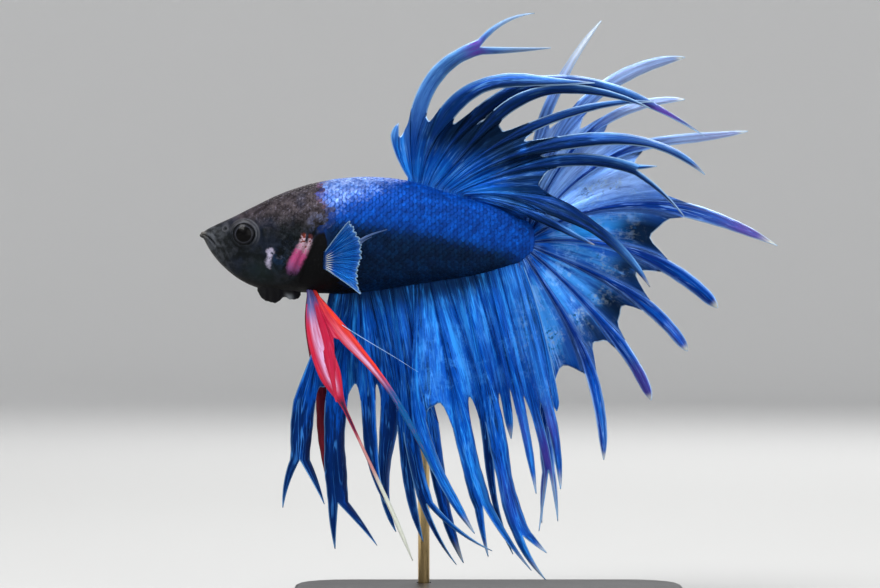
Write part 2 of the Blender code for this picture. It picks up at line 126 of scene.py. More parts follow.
def feed(tree, made, **sockets):
    """Gives a node's sockets their values or links, by name."""
    for key, value in sockets.items():
        join(tree, value, made.inputs[key.replace("_", " ")])
    return made


def node(tree, kind, settings=None, **sockets):
    """A new node, with its settings made and its sockets given values or links."""
    made = tree.nodes.new("ShaderNode" + kind)
    for key, value in (settings or {}).items():
        setattr(made, key, value)
    return feed(tree, made, **sockets)


def mixed(tree, share, a, b, blend="MIX"):
    """A colour between a and b."""
    made = node(tree, "Mix", {"data_type": "RGBA", "blend_type": blend})
    for value, index in ((share, 0), (a, 6), (b, 7)):
        join(tree, value, made.inputs[index])
    return made.outputs[2]


def step_between(tree, value, low, high):
    """0 where the value is below `low`, 1 above `high`, soft between."""
    soft = {"interpolation_type": "SMOOTHSTEP"}
    return node(tree, "MapRange", soft, Value=value, From_Min=low, From_Max=high).outputs["Result"]


def finish_of(name, **settings):
    """A material with its constants set. Its colour and relief are joined to it later."""
    material = bpy.data.materials.new(name)
    material.use_nodes = True
    tree = material.node_tree
    return material, tree, feed(tree, tree.nodes["Principled BSDF"], **settings)


def paper_finish():
    """Pale matt paper, lighter towards the wall, which gets less light."""
    paper, tree, shader = finish_of("floor_paper", Roughness=0.9)
    place = node(tree, "TexCoord").outputs["Object"]
    flat = node(tree, "VectorMath", {"operation": "MULTIPLY"}, Vector=place)
    flat.inputs[1].default_value = (1, 1, 0)
    out = node(tree, "VectorMath", {"operation": "LENGTH"}, Vector=flat.outputs["Vector"])
    far = step_between(tree, out.outputs["Value"], PALE_FROM * MM, PALE_TO * MM)
    feed(tree, shader, Base_Color=mixed(tree, far, FLOOR_PAPER, WALL_PAPER))
    return paper


def floor_dish():
    """A flat disc whose edge curves up into a wall all round."""
    profile = [
        (DISH_RADIUS - DISH_EDGE + DISH_EDGE * math.sin(turn), DISH_EDGE - DISH_EDGE * math.cos(turn))
        for turn in np.linspace(0, math.pi / 2, DISH_STEPS)
    ]
    profile.append((DISH_RADIUS, DISH_HEIGHT))
    points = [
        (r * math.cos(a) * MM, r * math.sin(a) * MM, z * MM)
        for r, z in profile
        for a in np.linspace(0, 2 * math.pi, DISH_SIDES, endpoint=False)
    ]
    faces = [tuple(range(DISH_SIDES))]
    for row in range(len(profile) - 1):
        for k in range(DISH_SIDES):
            a, b = row * DISH_SIDES + k, row * DISH_SIDES + (k + 1) % DISH_SIDES
            faces.append((a, a + DISH_SIDES, b + DISH_SIDES, b))
    mesh = bpy.data.meshes.new("floor")
    mesh.from_pydata(points, [], faces)
    mesh.shade_smooth()
    floor = bpy.data.objects.new("floor", mesh)
    bpy.context.scene.collection.objects.link(floor)
    mesh.materials.append(paper_finish())


set_camera()
soft_boxes()
floor_dish()


# ---------------------------------------------------------------- skin
# One skin covers the head, jaw, gill covers, trunk and tail stalk. It is a closed loft of the
# body's sections, with the mouth, nostrils, eye rims and gill plates raised or sunk in it.

# Sections of the body, `at` behind the snout. Heights are measured from the fish's axis, and
# `middle` is that of the widest place.
Station = namedtuple("Station", "at back belly half_width middle")
BODY = (
    Station(0.0, 1.1, 0.05, 0.7, 0.6),
    Station(0.7, 1.6, -1.3, 1.35, 0.2),
    Station(2.0, 2.25, -3.15, 1.95, -0.3),
    Station(4.2, 3.25, -5.3, 2.75, -0.7),
    Station(7.6, 4.95, -7.3, 3.75, -0.8),
    Station(11.5, 6.8, -7.95, 4.75, -0.8),
    Station(16.0, 8.35, -8.3, 5.4, -0.6),
    Station(21.5, 9.3, -8.4, 5.65, -0.3),
    Station(26.5, 9.45, -7.9, 5.4, 0.0),
    Station(31.5, 8.85, -7.1, 4.75, 0.3),
    Station(36.5, 7.35, -6.35, 3.8, 0.4),
    Station(41.5, 5.8, -5.55, 2.7, 0.3),
    Station(46.0, 4.65, -4.3, 1.55, 0.1),
    Station(48.6, 3.5, -3.4, 0.75, 0.0),
    Station(50.0, 2.3, -2.3, 0.35, 0.0),
)
BODY_LENGTH = BODY[-1].at
SECTION_FULLNESS = 2.15
SNOUT_CAP, TAIL_CAP = 0.5, 0.7  # how far the rounded ends reach past the first and last section
COAT_DEPTH = 0.1  # the scales' height above the skin
SKIN_SIDES = 288
HEAD_ROW, TRUNK_ROW = 0.1, 0.28  # spacing of the sections
FINE_END = 19  # behind it the sections lie wider apart

EYE_RADIUS, EYE_DEPTH, EYE_SIDE = 2.1, 1.45, 2.7
EYE_OPENING = 1.62  # radius of the part of the eyeball that the skin leaves bare
# Features of the head, as (behind the snout, height) places and lines.
NOSTRIL = (3.5, 1.5)
MOUTH = ((-0.3, 0.8), (0.45, 0.5), (1.15, 0.0), (1.75, -0.7), (2.0, -1.35))
LIP_FOLD = ((0.9, 1.45), (1.7, 0.75), (2.5, -0.45), (2.75, -1.8))
CHEEK_EDGE = ((9.6, 2.2), (9.9, 0.2), (10.2, -2.2), (10.9, -4.4), (12.3, -6.2))
GILL_EDGE = (
    (16.2, 3.0), (16.9, 1.6), (16.5, 0.4), (15.5, -1.6), (14.6, -3.4), (13.8, -5.2), (13.1, -6.6),
)
GILL_SLIT = ((17.3, 1.4), (17.1, 0.2), (16.2, -1.5), (15.4, -3.2), (14.7, -5.0), (14.0, -6.6))


def smooth(knots, at):
    """Heights at `at` of a smooth curve through (place, height) knots."""
    x, y = np.array(knots, float).T
    slope = np.gradient(y, x)
    at = np.clip(at, x[0], x[-1])
    i = np.clip(np.searchsorted(x, at, side="right") - 1, 0, len(x) - 2)
    span = x[i + 1] - x[i]
    t = (at - x[i]) / span
    return (
        y[i] * (1 + 2 * t) * (1 - t) ** 2
        + slope[i] * span * t * (1 - t) ** 2
        + y[i + 1] * t * t * (3 - 2 * t)
        + slope[i + 1] * span * t * t * (t - 1)
    )


def ease(x, low, high):
    """0 below `low`, 1 above `high`, and a soft step between them."""
    t = np.clip((x - low) / (high - low), 0, 1)
    return t * t * (3 - 2 * t)


def hump(x, width):
    """1 at 0, fading to nothing over a few widths."""
    return np.exp(-((x / width) ** 2))


def body_line(name, at):
    """One of the body's measures, such as its back, at some places behind the snout."""
    return smooth([(station.at, getattr(station, name)) for station in BODY], at)


def bare_body(at, angle):
    """Points of the plain body: `at` runs from the snout and the angle from the right side."""
    inside = np.clip(at, 0, BODY_LENGTH)
    past = np.maximum(-at / SNOUT_CAP, (at - BODY_LENGTH) / TAIL_CAP)
    round_end = np.sqrt(1 - np.clip(past, 0, 0.995) ** 2)
    back, belly, half_width, middle = (body_line(name, inside) for name in Station._fields[1:])
    power = 2 / SECTION_FULLNESS
    across = np.sign(np.cos(angle)) * np.abs(np.cos(angle)) ** power
    up = np.sign(np.sin(angle)) * np.abs(np.sin(angle)) ** power
    height = middle + up * np.where(up > 0, back - middle, middle - belly)
    centre = (back + belly) / 2
    height = centre + (height - centre) * round_end
    return np.stack([SNOUT_X + at, half_width * across * round_end, AXIS_Z + height], -1)


def beside(at, up, line):
    """How far points lie from a bent line, more than 0 behind it, and the share of it there."""
    nearest = np.full(np.shape(at), 1e9)
    side, share = np.ones_like(nearest), np.zeros_like(nearest)
    for k, ((a0, u0), (a1, u1)) in enumerate(zip(line, line[1:])):
        da, du = a1 - a0, u1 - u0
        t = np.clip(((at - a0) * da + (up - u0) * du) / (da * da + du * du), 0, 1)
        gap = np.hypot(at - a0 - t * da, up - u0 - t * du)
        closer = gap < nearest
        nearest = np.where(closer, gap, nearest)
        side = np.where(closer, np.where((at - a0) * -du + (up - u0) * da > 0, 1, -1), side)
        share = np.where(closer, (k + t) / (len(line) - 1), share)
    return nearest * side, share


def bend(points, count=24):
    """A smooth bent line through a few (behind the snout, height) points."""
    share = np.linspace(0, len(points) - 1, count)
    return list(zip(*(smooth(list(enumerate(values)), share) for values in zip(*points))))


def fading(share, starts, ends):
    """1 along the middle of a line, fading out over its first and last stretch."""
    return ease(share, 0.0, starts) * (1 - ease(share, ends, 1.0))


def relief(at, up, across):
    """How far the skin stands out from the plain body, for the features of the head."""
    flank = ease(np.abs(across), 0.25, 0.6)
    mouth, share = beside(at, up, bend(MOUTH))
    lips = 0.1 * hump(np.abs(mouth) - 0.34, 0.22) - 0.36 * hump(mouth, 0.1)
    rise = lips * (1 - ease(share, 0.85, 1.0))
    fold = beside(at, up, bend(LIP_FOLD))[0]
    rise += (0.05 * hump(fold - 0.25, 0.3) - 0.07 * hump(fold, 0.16)) * flank
    ring = np.hypot(at - NOSTRIL[0], up - NOSTRIL[1])
    rise += (0.16 * hump(ring - 0.42, 0.13) - 0.3 * hump(ring, 0.24)) * flank

    cheek, share = beside(at, up, bend(CHEEK_EDGE))
    ridge = 0.16 * hump(cheek + 0.25, 0.3) - 0.1 * hump(cheek - 0.15, 0.2)
    rise += ridge * flank * fading(share, 0.2, 0.8)
    plate, share = beside(at, up, bend(GILL_EDGE))
    plate_edge = 0.3 * ease(plate, -2.4, -0.25) * (1 - ease(plate, -0.12, 0.08))
    rise += plate_edge * flank * fading(share, 0.15, 0.9)
    slit, share = beside(at, up, bend(GILL_SLIT))
    groove = -0.4 * hump(slit + 0.45, 0.5) + 0.22 * hump(slit - 0.45, 0.3)
    return rise + groove * flank * fading(share, 0.15, 0.85)


def eye_seat(points, side_of):
    """The skin round an eye rises to a rim that lies on the eyeball, and sinks behind it."""
    eye = np.array((SNOUT_X + EYE_BEHIND_SNOUT, EYE_SIDE, AXIS_Z + EYE_ABOVE_AXIS))
    r = np.hypot(points[..., 0] - eye[0], points[..., 2] - eye[2])
    y = np.abs(points[..., 1])
    ball = EYE_SIDE + EYE_DEPTH * np.sqrt(np.clip(1 - (r / EYE_RADIUS) ** 2, 0, 1))
    on_rim = np.maximum(y, ball + 0.07) + 0.13 * hump(r - EYE_OPENING - 0.3, 0.16)
    share = 1 - ease(r, EYE_OPENING + 0.35, EYE_OPENING + 1.0)
    seated = y + (on_rim - y) * share
    seated = seated - 0.07 * hump(r - EYE_OPENING - 0.85, 0.16)
    hollow = 1 - ease(r, EYE_OPENING - 0.16, EYE_OPENING + 0.06)
    seated = seated - hollow * 1.1
    near = (r < EYE_OPENING + 2.0) & (y > 1.0)
    points[..., 1] = np.where(near, seated * side_of, points[..., 1])
    return points


def skin_points(at, angle, lift=0.0):
    """Points of the finished skin, or of a layer that lies `lift` above it."""
    point = bare_body(at, angle)
    step = 0.02
    along = bare_body(at + step, angle) - bare_body(at - step, angle)
    around = bare_body(at, angle + step) - bare_body(at, angle - step)
    normal = np.cross(around, along)
    normal /= np.linalg.norm(normal, axis=-1, keepdims=True) + 1e-9
    out = relief(at, point[..., 2] - AXIS_Z, np.cos(angle)) - COAT_DEPTH + lift
    point = point + normal * out[..., None]
    return eye_seat(point, np.sign(np.cos(angle)))


# The head's rear edge as (height, behind the snout), and the other markings the other way
# round. A width list holds (share of the band's length, half of its width).
HEAD_BACK_EDGE = (
    (-9, 19.3), (-4, 19.3), (0.5, 18.3), (2.5, 18.9), (4.3, 19.3), (6.5, 17.5), (8.8, 18.3), (10, 18.4),
)
BLACK_TOP = (
    (2.5, -4.2), (4.7, -5.3), (8.2, -6.6), (11.5, -6.9), (13.2, -6.7), (14.4, -5.9), (15.3, -4.0),
    (16.4, -1.8), (17.3, 0.2), (18.2, 0.9), (18.9, 0.4), (19.4, -3.0), (20.2, -6.2), (22.5, -7.6),
    (25.0, -9.5),
)
# The top edge of the lower flank's dark navy, which is partly the fish's own colour and partly painted
# shade.
NAVY_AND_SHADE_TOP = ((17, 2.4), (21, 2.3), (27, 1.7), (36, 0.2), (43, -1.5), (47, -2.6), (50, -4.0))
SLASH = ((16.15, 0.95), (15.85, -0.6), (15.1, -2.2), (14.15, -3.9), (13.2, -6.0))
SLASH_WIDTH = ((0.0, 0.72), (0.3, 0.84), (0.6, 1.0), (0.85, 0.95), (1.0, 0.7))
CHEEK_PATCH = ((10.35, -1.2), (10.45, -2.2), (10.15, -3.4), (10.35, -5.0))
CHEEK_WIDTH = ((0.0, 0.12), (0.3, 0.62), (0.55, 0.3), (0.7, 0.42), (1.0, 0.1))


def markings(at, up):
    """The share of each marking at points on the flank, from their place alone."""
    below_black, below_navy_and_shade = up - smooth(BLACK_TOP, at), up - smooth(NAVY_AND_SHADE_TOP, at)
    back_from = 1.3 + 0.5 * (at - 19)
    gap, down = beside(at, up, bend(SLASH))
    width = smooth(SLASH_WIDTH, down)
    prongs = 1 - (1 - ease(down, 0.2, 0.3)) * (1 - ease(np.abs(gap - 0.05), 0.12, 0.28))
    slash = 1 - ease(np.abs(gap), width - 0.75, width + 0.55)
    gap, share = beside(at, up, bend(CHEEK_PATCH))
    width = smooth(CHEEK_WIDTH, share)
    cheek = 1 - ease(np.abs(gap), width - 0.6, width + 0.45)
    cheek_hole = hump(np.hypot(at - 10.7, up + 2.2), 0.2)
    aft, above = at - EYE_BEHIND_SNOUT, up - EYE_ABOVE_AXIS
    from_eye, from_nostril = np.hypot(aft, above), np.hypot(at - NOSTRIL[0], up - NOSTRIL[1])
    lid = hump(from_eye - 1.88, 0.13) + 0.6 * hump(from_eye - 2.3, 0.14)
    # Where painted rim light runs along the outline of the chin and of the crown.
    under = (1 - ease(up - body_line("belly", at), 0.05, 0.6)) * (1 - ease(at, 4.0, 7.0))
    over = (1 - ease(body_line("back", at) - up, 0.0, 0.35)) * (1 - ease(at, 12.0, 20.0))
    return {
        "head": 1 - ease(at - smooth(HEAD_BACK_EDGE, up), -1.7, 1.5),
        "black": (1 - ease(below_black, -0.6, 0.6)) * ease(at, 2.2, 3.6),
        # The lower flank's dark navy: partly the fish's own colour, partly painted shade.
        "navy_and_shade": (1 - ease(below_navy_and_shade, -1.9, 1.9)) * ease(at, 17.5, 19.5) * (1 - ease(at, 45.5, 50)),
        # The back's lavender: partly the fish's own colour, partly painted light falling from above.
        "back": ease(up, back_from, back_from + 7.5) * (1 - ease(at, 25, 39)) * ease(at, 17, 19),
        "slash": slash * fading(down, 0.08, 0.78) * prongs,
        "slash_down": down,
        "cheek": cheek * fading(share, 0.12, 0.85) * (1 - cheek_hole),
        "nape": hump(at - 17.5 - 0.25 * (8 - up), 0.75) * ease(up, 2.6, 7.0),
        "lid": lid * (0.06 + 0.94 * ease(0.55 * aft + 0.83 * above, -1.2, 1.4))
        + 0.7 * hump(from_nostril - 0.36, 0.2),
        "glint": hump(np.hypot((at - 11.4) / 0.7, (up + 3.0) / 1.2), 1.0),
        "snout": 1 - ease(at, 0.8, 6.0),
        "moss": hump(np.hypot((at - 9.0) / 1.7, up + 4.9), 1.5),
        "milk": hump(np.hypot((at - 17.6) / 0.8, (up - 2.4) / 1.5), 1.6),
        # Painted rim light on the snout's tip and along the chin and crown.
        "rim": np.clip((1 - ease(at, 0.0, 0.9)) + 0.5 * under + 0.3 * over, 0, 1),
        "top": ease(up, 0.5, 5.0),
    }


def mesh_of(name, points, faces):
    """A smooth mesh from points in millimetres, linked as an object that rides with the fish."""
    mesh = bpy.data.meshes.new(name)
    mesh.from_pydata((np.reshape(points, (-1, 3)) * MM).tolist(), [], faces)
    mesh.shade_smooth()
    obj = bpy.data.objects.new(name, mesh)
    bpy.context.scene.collection.objects.link(obj)
    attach(obj, "root")
    return obj


def write_marks(obj, marks):
    """Stores named values at the mesh's points, for its material to read."""
    for name, values in marks.items():
        layer = obj.data.attributes.new(name, "FLOAT", "POINT")
        layer.data.foreach_set("value", np.asarray(values, np.float32).ravel())


def write_map(obj, name, places):
    """A UV map from one (u, v) place for each point."""
    layer = obj.data.uv_layers.new(name=name)
    corners = np.empty(len(obj.data.loops), np.int32)
    obj.data.loops.foreach_get("vertex_index", corners)
    layer.data.foreach_set("uv", np.asarray(places, np.float32).reshape(-1, 2)[corners].ravel())


def tube_faces(rows, sides, turned=False):
    """Faces of a tube of closed rings, and of the two flat ends that shut it."""
    first = np.arange(rows - 1)[:, None] * sides
    k, nxt = first + np.arange(sides), first + (np.arange(sides) + 1) % sides
    faces = np.stack([k, nxt, nxt + sides, k + sides], -1).reshape(-1, 4).tolist()
    faces.append(list(range(sides))[::-1])
    faces.append(list(range((rows - 1) * sides, rows * sides)))
    return [face[::-1] for face in faces] if turned else faces


def mark(tree, name):
    """A marking that the mesh carries."""
    return node(tree, "Attribute", {"attribute_name": name}).outputs["Fac"]


def noise(tree, scale, detail, place=None, **more):
    """A cloudy pattern in the fish's own space, or over other places."""
    place = place or node(tree, "TexCoord").outputs["Object"]
    return node(tree, "TexNoise", Vector=place, Scale=scale, Detail=detail, **more).outputs["Fac"]


def maths(tree, operation, a, b, clamp=False):
    """A sum, product or the like of two numbers or outputs."""
    made = node(tree, "Math", {"operation": operation, "use_clamp": clamp})
    join(tree, a, made.inputs[0])
    join(tree, b, made.inputs[1])
    return made.outputs[0]


def plus(tree, a, b, clamp=False):
    return maths(tree, "ADD", a, b, clamp)


def times(tree, a, b):
    return maths(tree, "MULTIPLY", a, b)


def swing(tree, pattern, reach):
    """A pattern moved to lie on both sides of 0, and made stronger or weaker."""
    return times(tree, maths(tree, "SUBTRACT", pattern, 0.5), reach)


def group(name, takes, gives):
    """An empty node group. Its inputs and outputs are named under "colour" and "number"."""
    tree = bpy.data.node_groups.new(name, "ShaderNodeTree")
    kinds = {"colour": "NodeSocketColor", "number": "NodeSocketFloat"}
    for in_out, sockets in (("INPUT", takes), ("OUTPUT", gives)):
        for kind, labels in sockets.items():
            for label in labels:
                tree.interface.new_socket(label, in_out=in_out, socket_type=kinds[kind])
    return tree, tree.nodes.new("NodeGroupInput"), tree.nodes.new("NodeGroupOutput")


def raise_by(tree, shader, height, distance):
    """Bumps the surface by a pattern, `distance` millimetres deep."""
    feed(tree, shader, Normal=node(tree, "Bump", Height=height, Distance=distance * MM).outputs["Normal"])


# Colours of the skin and scales. A pair holds the dark and the light parts of a mottled patch.
ROYAL = ((0.0006, 0.03, 0.2), (0.001, 0.058, 0.37))
# The back's lavender: partly the fish's own colour, partly painted light falling from above.
LAVENDER_AND_TOP_LIGHT = ((0.06, 0.135, 0.42), (0.2, 0.29, 0.6))
# The lower flank's dark navy: partly the fish's own colour, partly painted shade.
NAVY_AND_SHADE = ((0.0004, 0.0085, 0.033), (0.0005, 0.012, 0.05))
BROWN = ((0.016, 0.0115, 0.0145), (0.055, 0.044, 0.052))
SLATE = ((0.0022, 0.0036, 0.0045), (0.0078, 0.0112, 0.0155))
GREY = ((0.014, 0.0155, 0.017), (0.064, 0.07, 0.08))
SLASH_PINK = ((0.42, 0.3, 0.36), (0.4, 0.06, 0.18))
SLASH_END, SLASH_PRONGS = (0.19, 0.07, 0.19), (0.16, 0.03, 0.018)
DARK_BLUE, MOSS, GLINT = (0.009, 0.015, 0.036), (0.009, 0.018, 0.016), (0.003, 0.025, 0.075)
FRECKLE, MILK, CHEEK = (0.13, 0.12, 0.17), (0.085, 0.11, 0.23), (0.4, 0.37, 0.5)
# The last of these is painted rim light on the head's outline.
NAPE, LID, PAINTED_RIM_LIGHT = (0.11, 0.045, 0.062), (0.06, 0.063, 0.072), (0.14, 0.135, 0.125)
BLACK = (0.0012, 0.0013, 0.0018)


def fish_markings():
    """The colours of skin and scales alike, from the markings that their meshes carry."""
    tree, _, out = group(
        "fish_markings", {}, {"colour": ("Color",), "number": ("Roughness", "Mottle")}
    )
    mottle = noise(tree, 900.0, 4.0, Roughness=0.6)
    blotch = noise(tree, 330.0, 3.0)
    grain = noise(tree, 2400.0, 3.0)
    broken, finely = swing(tree, mottle, 0.7), swing(tree, grain, 1.5)

    def frayed(name, pattern, soft=0.35):
        """A marking whose edge the pattern breaks up, and which stays 0 away from it."""
        near = step_between(tree, mark(tree, name), 0.0, 0.25)
        ragged = plus(tree, mark(tree, name), pattern)
        return times(tree, near, step_between(tree, ragged, 0.5 - soft, 0.5 + soft))

    def mottled(pair, low, high):
        return mixed(tree, step_between(tree, mottle, low, high), *pair)

    def broken_up(marking, low, high):
        """A marking that shows only on the lighter parts of the mottle."""
        return times(tree, marking, step_between(tree, mottle, low, high))

    # The back's lavender is partly the fish's own colour and partly painted light from above.
    royal, back = mottled(ROYAL, 0.3, 0.72), mottled(LAVENDER_AND_TOP_LIGHT, 0.35, 0.65)
    colour = mixed(tree, frayed("back", finely, 0.5), royal, back)
    # The lower flank's dark navy, partly the fish's own colour and partly painted shade.
    navy_and_shade = step_between(tree, plus(tree, mark(tree, "navy_and_shade"), broken), 0.0, 1.0)
    navy = mixed(tree, step_between(tree, blotch, 0.42, 0.62), *NAVY_AND_SHADE)
    colour = mixed(tree, navy_and_shade, colour, navy)

    crown = plus(tree, mark(tree, "top"), broken, clamp=True)
    head = mixed(tree, crown, mottled(SLATE, 0.38, 0.66), mottled(BROWN, 0.36, 0.66))
    for marking, strength, tint in (
        (step_between(tree, blotch, 0.5, 0.7), 0.35, DARK_BLUE),
        (mark(tree, "snout"), 0.75, mottled(GREY, 0.4, 0.64)),
        (mark(tree, "moss"), 0.5, MOSS),
        (broken_up(mark(tree, "glint"), 0.36, 0.6), 0.6, GLINT),
        (times(tree, step_between(tree, grain, 0.56, 0.72), mark(tree, "top")), 0.5, FRECKLE),
        (broken_up(mark(tree, "milk"), 0.48, 0.66), 0.5, MILK),
        (frayed("nape", broken), 0.75, NAPE),
        (broken_up(frayed("cheek", finely, 0.5), 0.3, 0.56), 0.85, CHEEK),
    ):
        head = mixed(tree, times(tree, marking, strength), head, tint)
    head = mixed(tree, mark(tree, "lid"), head, LID)
    # Painted rim light on the snout's tip and the head's outline.
    head = mixed(tree, broken_up(mark(tree, "rim"), 0.3, 0.62), head, PAINTED_RIM_LIGHT)
    colour = mixed(tree, frayed("head", broken, 0.4), colour, head)
    colour = mixed(tree, frayed("black", broken, 0.4), colour, BLACK)

    down = plus(tree, mark(tree, "slash_down"), times(tree, finely, 0.3))
    slash = mixed(tree, step_between(tree, down, 0.3, 0.55), *SLASH_PINK)
    slash = mixed(tree, step_between(tree, down, 0.62, 0.92), slash, SLASH_END)
    prongs = step_between(tree, plus(tree, down, times(tree, finely, 0.6)), 0.24, 0.12)
    slash = mixed(tree, prongs, slash, SLASH_PRONGS)
    colour = mixed(tree, frayed("slash", times(tree, finely, 0.6), 0.5), colour, slash)
    gloss = plus(tree, times(tree, mottle, 0.25), 0.42)
    feed(tree, out, Color=colour, Roughness=gloss, Mottle=mottle)
    return tree


MARKINGS = fish_markings()


def skin_finish():
    material, tree, shader = finish_of("fish_skin", Metallic=0.2, Specular_IOR_Level=0.09)
    looks = node(tree, "Group", {"node_tree": MARKINGS}).outputs
    feed(tree, shader, Base_Color=looks["Color"], Roughness=looks["Roughness"])
    raise_by(tree, shader, looks["Mottle"], 0.12)
    return material


def arc_map(at, angle):
    """A place on the unwrapped body: the left half below the right half, each flat."""
    turn = np.mod(angle + math.pi / 2, 2 * math.pi) / (2 * math.pi)
    return np.stack([(at + 1) / (BODY_LENGTH + 2), 0.02 + 0.96 * turn], -1)


def make_skin():
    at = np.concatenate([
        -SNOUT_CAP * np.cos(np.linspace(0.1, math.pi / 2, 7)[:-1]),
        np.arange(0, FINE_END, HEAD_ROW),
        np.arange(FINE_END, BODY_LENGTH, TRUNK_ROW),
        BODY_LENGTH + TAIL_CAP * np.sin(np.linspace(0, math.pi / 2 - 0.1, 5)),
    ])
    angle = np.linspace(0, 2 * math.pi, SKIN_SIDES, endpoint=False)
    at, angle = np.meshgrid(at, angle, indexing="ij")
    points = skin_points(at, angle)
    skin = mesh_of("skin", points, tube_faces(*at.shape))
    write_marks(skin, markings(at, points[..., 2] - AXIS_Z))
    write_map(skin, "OFBake", arc_map(at, angle))
    skin.data.materials.append(skin_finish())
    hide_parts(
        "head", "lower_jaw", "gill_cover_left", "gill_cover_right", "trunk", "tail_stalk"
    )


make_skin()


# ---------------------------------------------------------------- scales
# Thin bony plates that overlap like roof tiles, each rooted in the skin with its rounded edge
# towards the tail. Those of the trunk are the largest, and the head's are small and lie flat.

# A coat of scales reaches from `start` to `end` behind the snout, wherever `keeps` agrees. The
# scales are `pitch` apart along the body and `row` apart round it, and rise to `height`.
Coat = namedtuple("Coat", "name start end keeps pitch row height contrast slot seed")
SCALE_CELLS = (6, 6)
SCALE_OVERLAP = 1.5
# Painted shade at a scale's root and painted glint near its edge, as factors on the markings' colour.
SCALE_ROOT_SHADE, SCALE_EDGE_GLINT = (0.74, 0.74, 0.77), (1.5, 1.58, 1.44)
SMALLEST_SCALE, FULL_SIZE_BACK = 0.62, 6.0  # scales shrink where the back is lower than this
BAKE_PATCH = 0.003


def section_arcs(at):
    """Angles from the middle of the flank up to the back, and the way along the outline to
    each, above and below."""
    angle = np.linspace(0, math.pi / 2, 60)
    upper, lower = (
        np.concatenate([[0], np.cumsum(np.linalg.norm(np.diff(points, axis=0), axis=1))])
        for points in (bare_body(np.full(60, at), angle), bare_body(np.full(60, at), -angle))
    )
    return angle, upper, lower


def scale_roots(coat):
    """Where each scale of a coat is rooted: (behind the snout, angle, angle per mm, size)."""
    roots = []
    for column in range(int((coat.end - coat.start) / (coat.pitch / 2))):
        at = coat.start + column * coat.pitch / 2
        back = float(body_line("back", at))
        size = min(1.0, SMALLEST_SCALE + (1 - SMALLEST_SCALE) * back / FULL_SIZE_BACK)
        angle, upper, lower = section_arcs(at)
        offset = 0.5 * (column % 2)
        for k in range(-40, 40):
            arc = (k + offset) * coat.row * size
            reach, sign = (upper, 1) if arc >= 0 else (lower, -1)
            if abs(arc) > reach[-1] - 0.1:
                continue
            here = sign * np.interp(abs(arc), reach, angle)
            ahead = sign * np.interp(abs(arc) + 0.1, reach, angle)
            height = bare_body(np.array(at), np.array(here))[2] - AXIS_Z
            if coat.keeps(at, height):
                roots.append((at, here, abs(ahead - here) / 0.1, size))
    return np.array(roots)


def on_trunk(at, up):
    """Behind the head, and on the lower flank behind the gill cover."""
    behind_gill = float(smooth(HEAD_BACK_EDGE, up)) - 0.6
    return at > max(behind_gill, 18.9 if up < 1 else 0)


def on_head(at, up):
    """On the crown and the gill cover, clear of the eye and of the pink band."""
    eye_gap = math.hypot(at - EYE_BEHIND_SNOUT, up - EYE_ABOVE_AXIS)
    crown = up > 1.2 + max(0, 11 - at) * 0.35 and at > 8.0
    cover = at > 10.6 and up > -5.0 and float(beside(at, up, GILL_EDGE)[0]) < -1.3
    clear = abs(float(beside(at + 0.5, up, SLASH)[0])) > 1.8
    return at < float(smooth(HEAD_BACK_EDGE, up)) and eye_gap > 3.0 and clear and (crown or cover)


def scale_finish():
    """The skin's markings, with each scale darker at its root, a painted shade, and brighter near
    its edge, a painted glint that is stronger on some scales than others.
    """
    material, tree, shader = finish_of("fish_scale", Metallic=0.4, Specular_IOR_Level=0.09)
    looks = node(tree, "Group", {"node_tree": MARKINGS}).outputs
    edge = step_between(tree, mark(tree, "scale_along"), 0.35, 0.8)
    shine = times(tree, edge, mark(tree, "scale_glint"))
    shine = times(tree, shine, step_between(tree, noise(tree, 1300.0, 2.0), 0.32, 0.52))
    dark = mixed(tree, 1.0, looks["Color"], SCALE_ROOT_SHADE, "MULTIPLY")
    bright = mixed(tree, 1.0, looks["Color"], SCALE_EDGE_GLINT, "MULTIPLY")
    feed(tree, shader, Base_Color=mixed(tree, shine, dark, bright), Roughness=looks["Roughness"])
    raise_by(tree, shader, looks["Mottle"], 0.05)
    return material


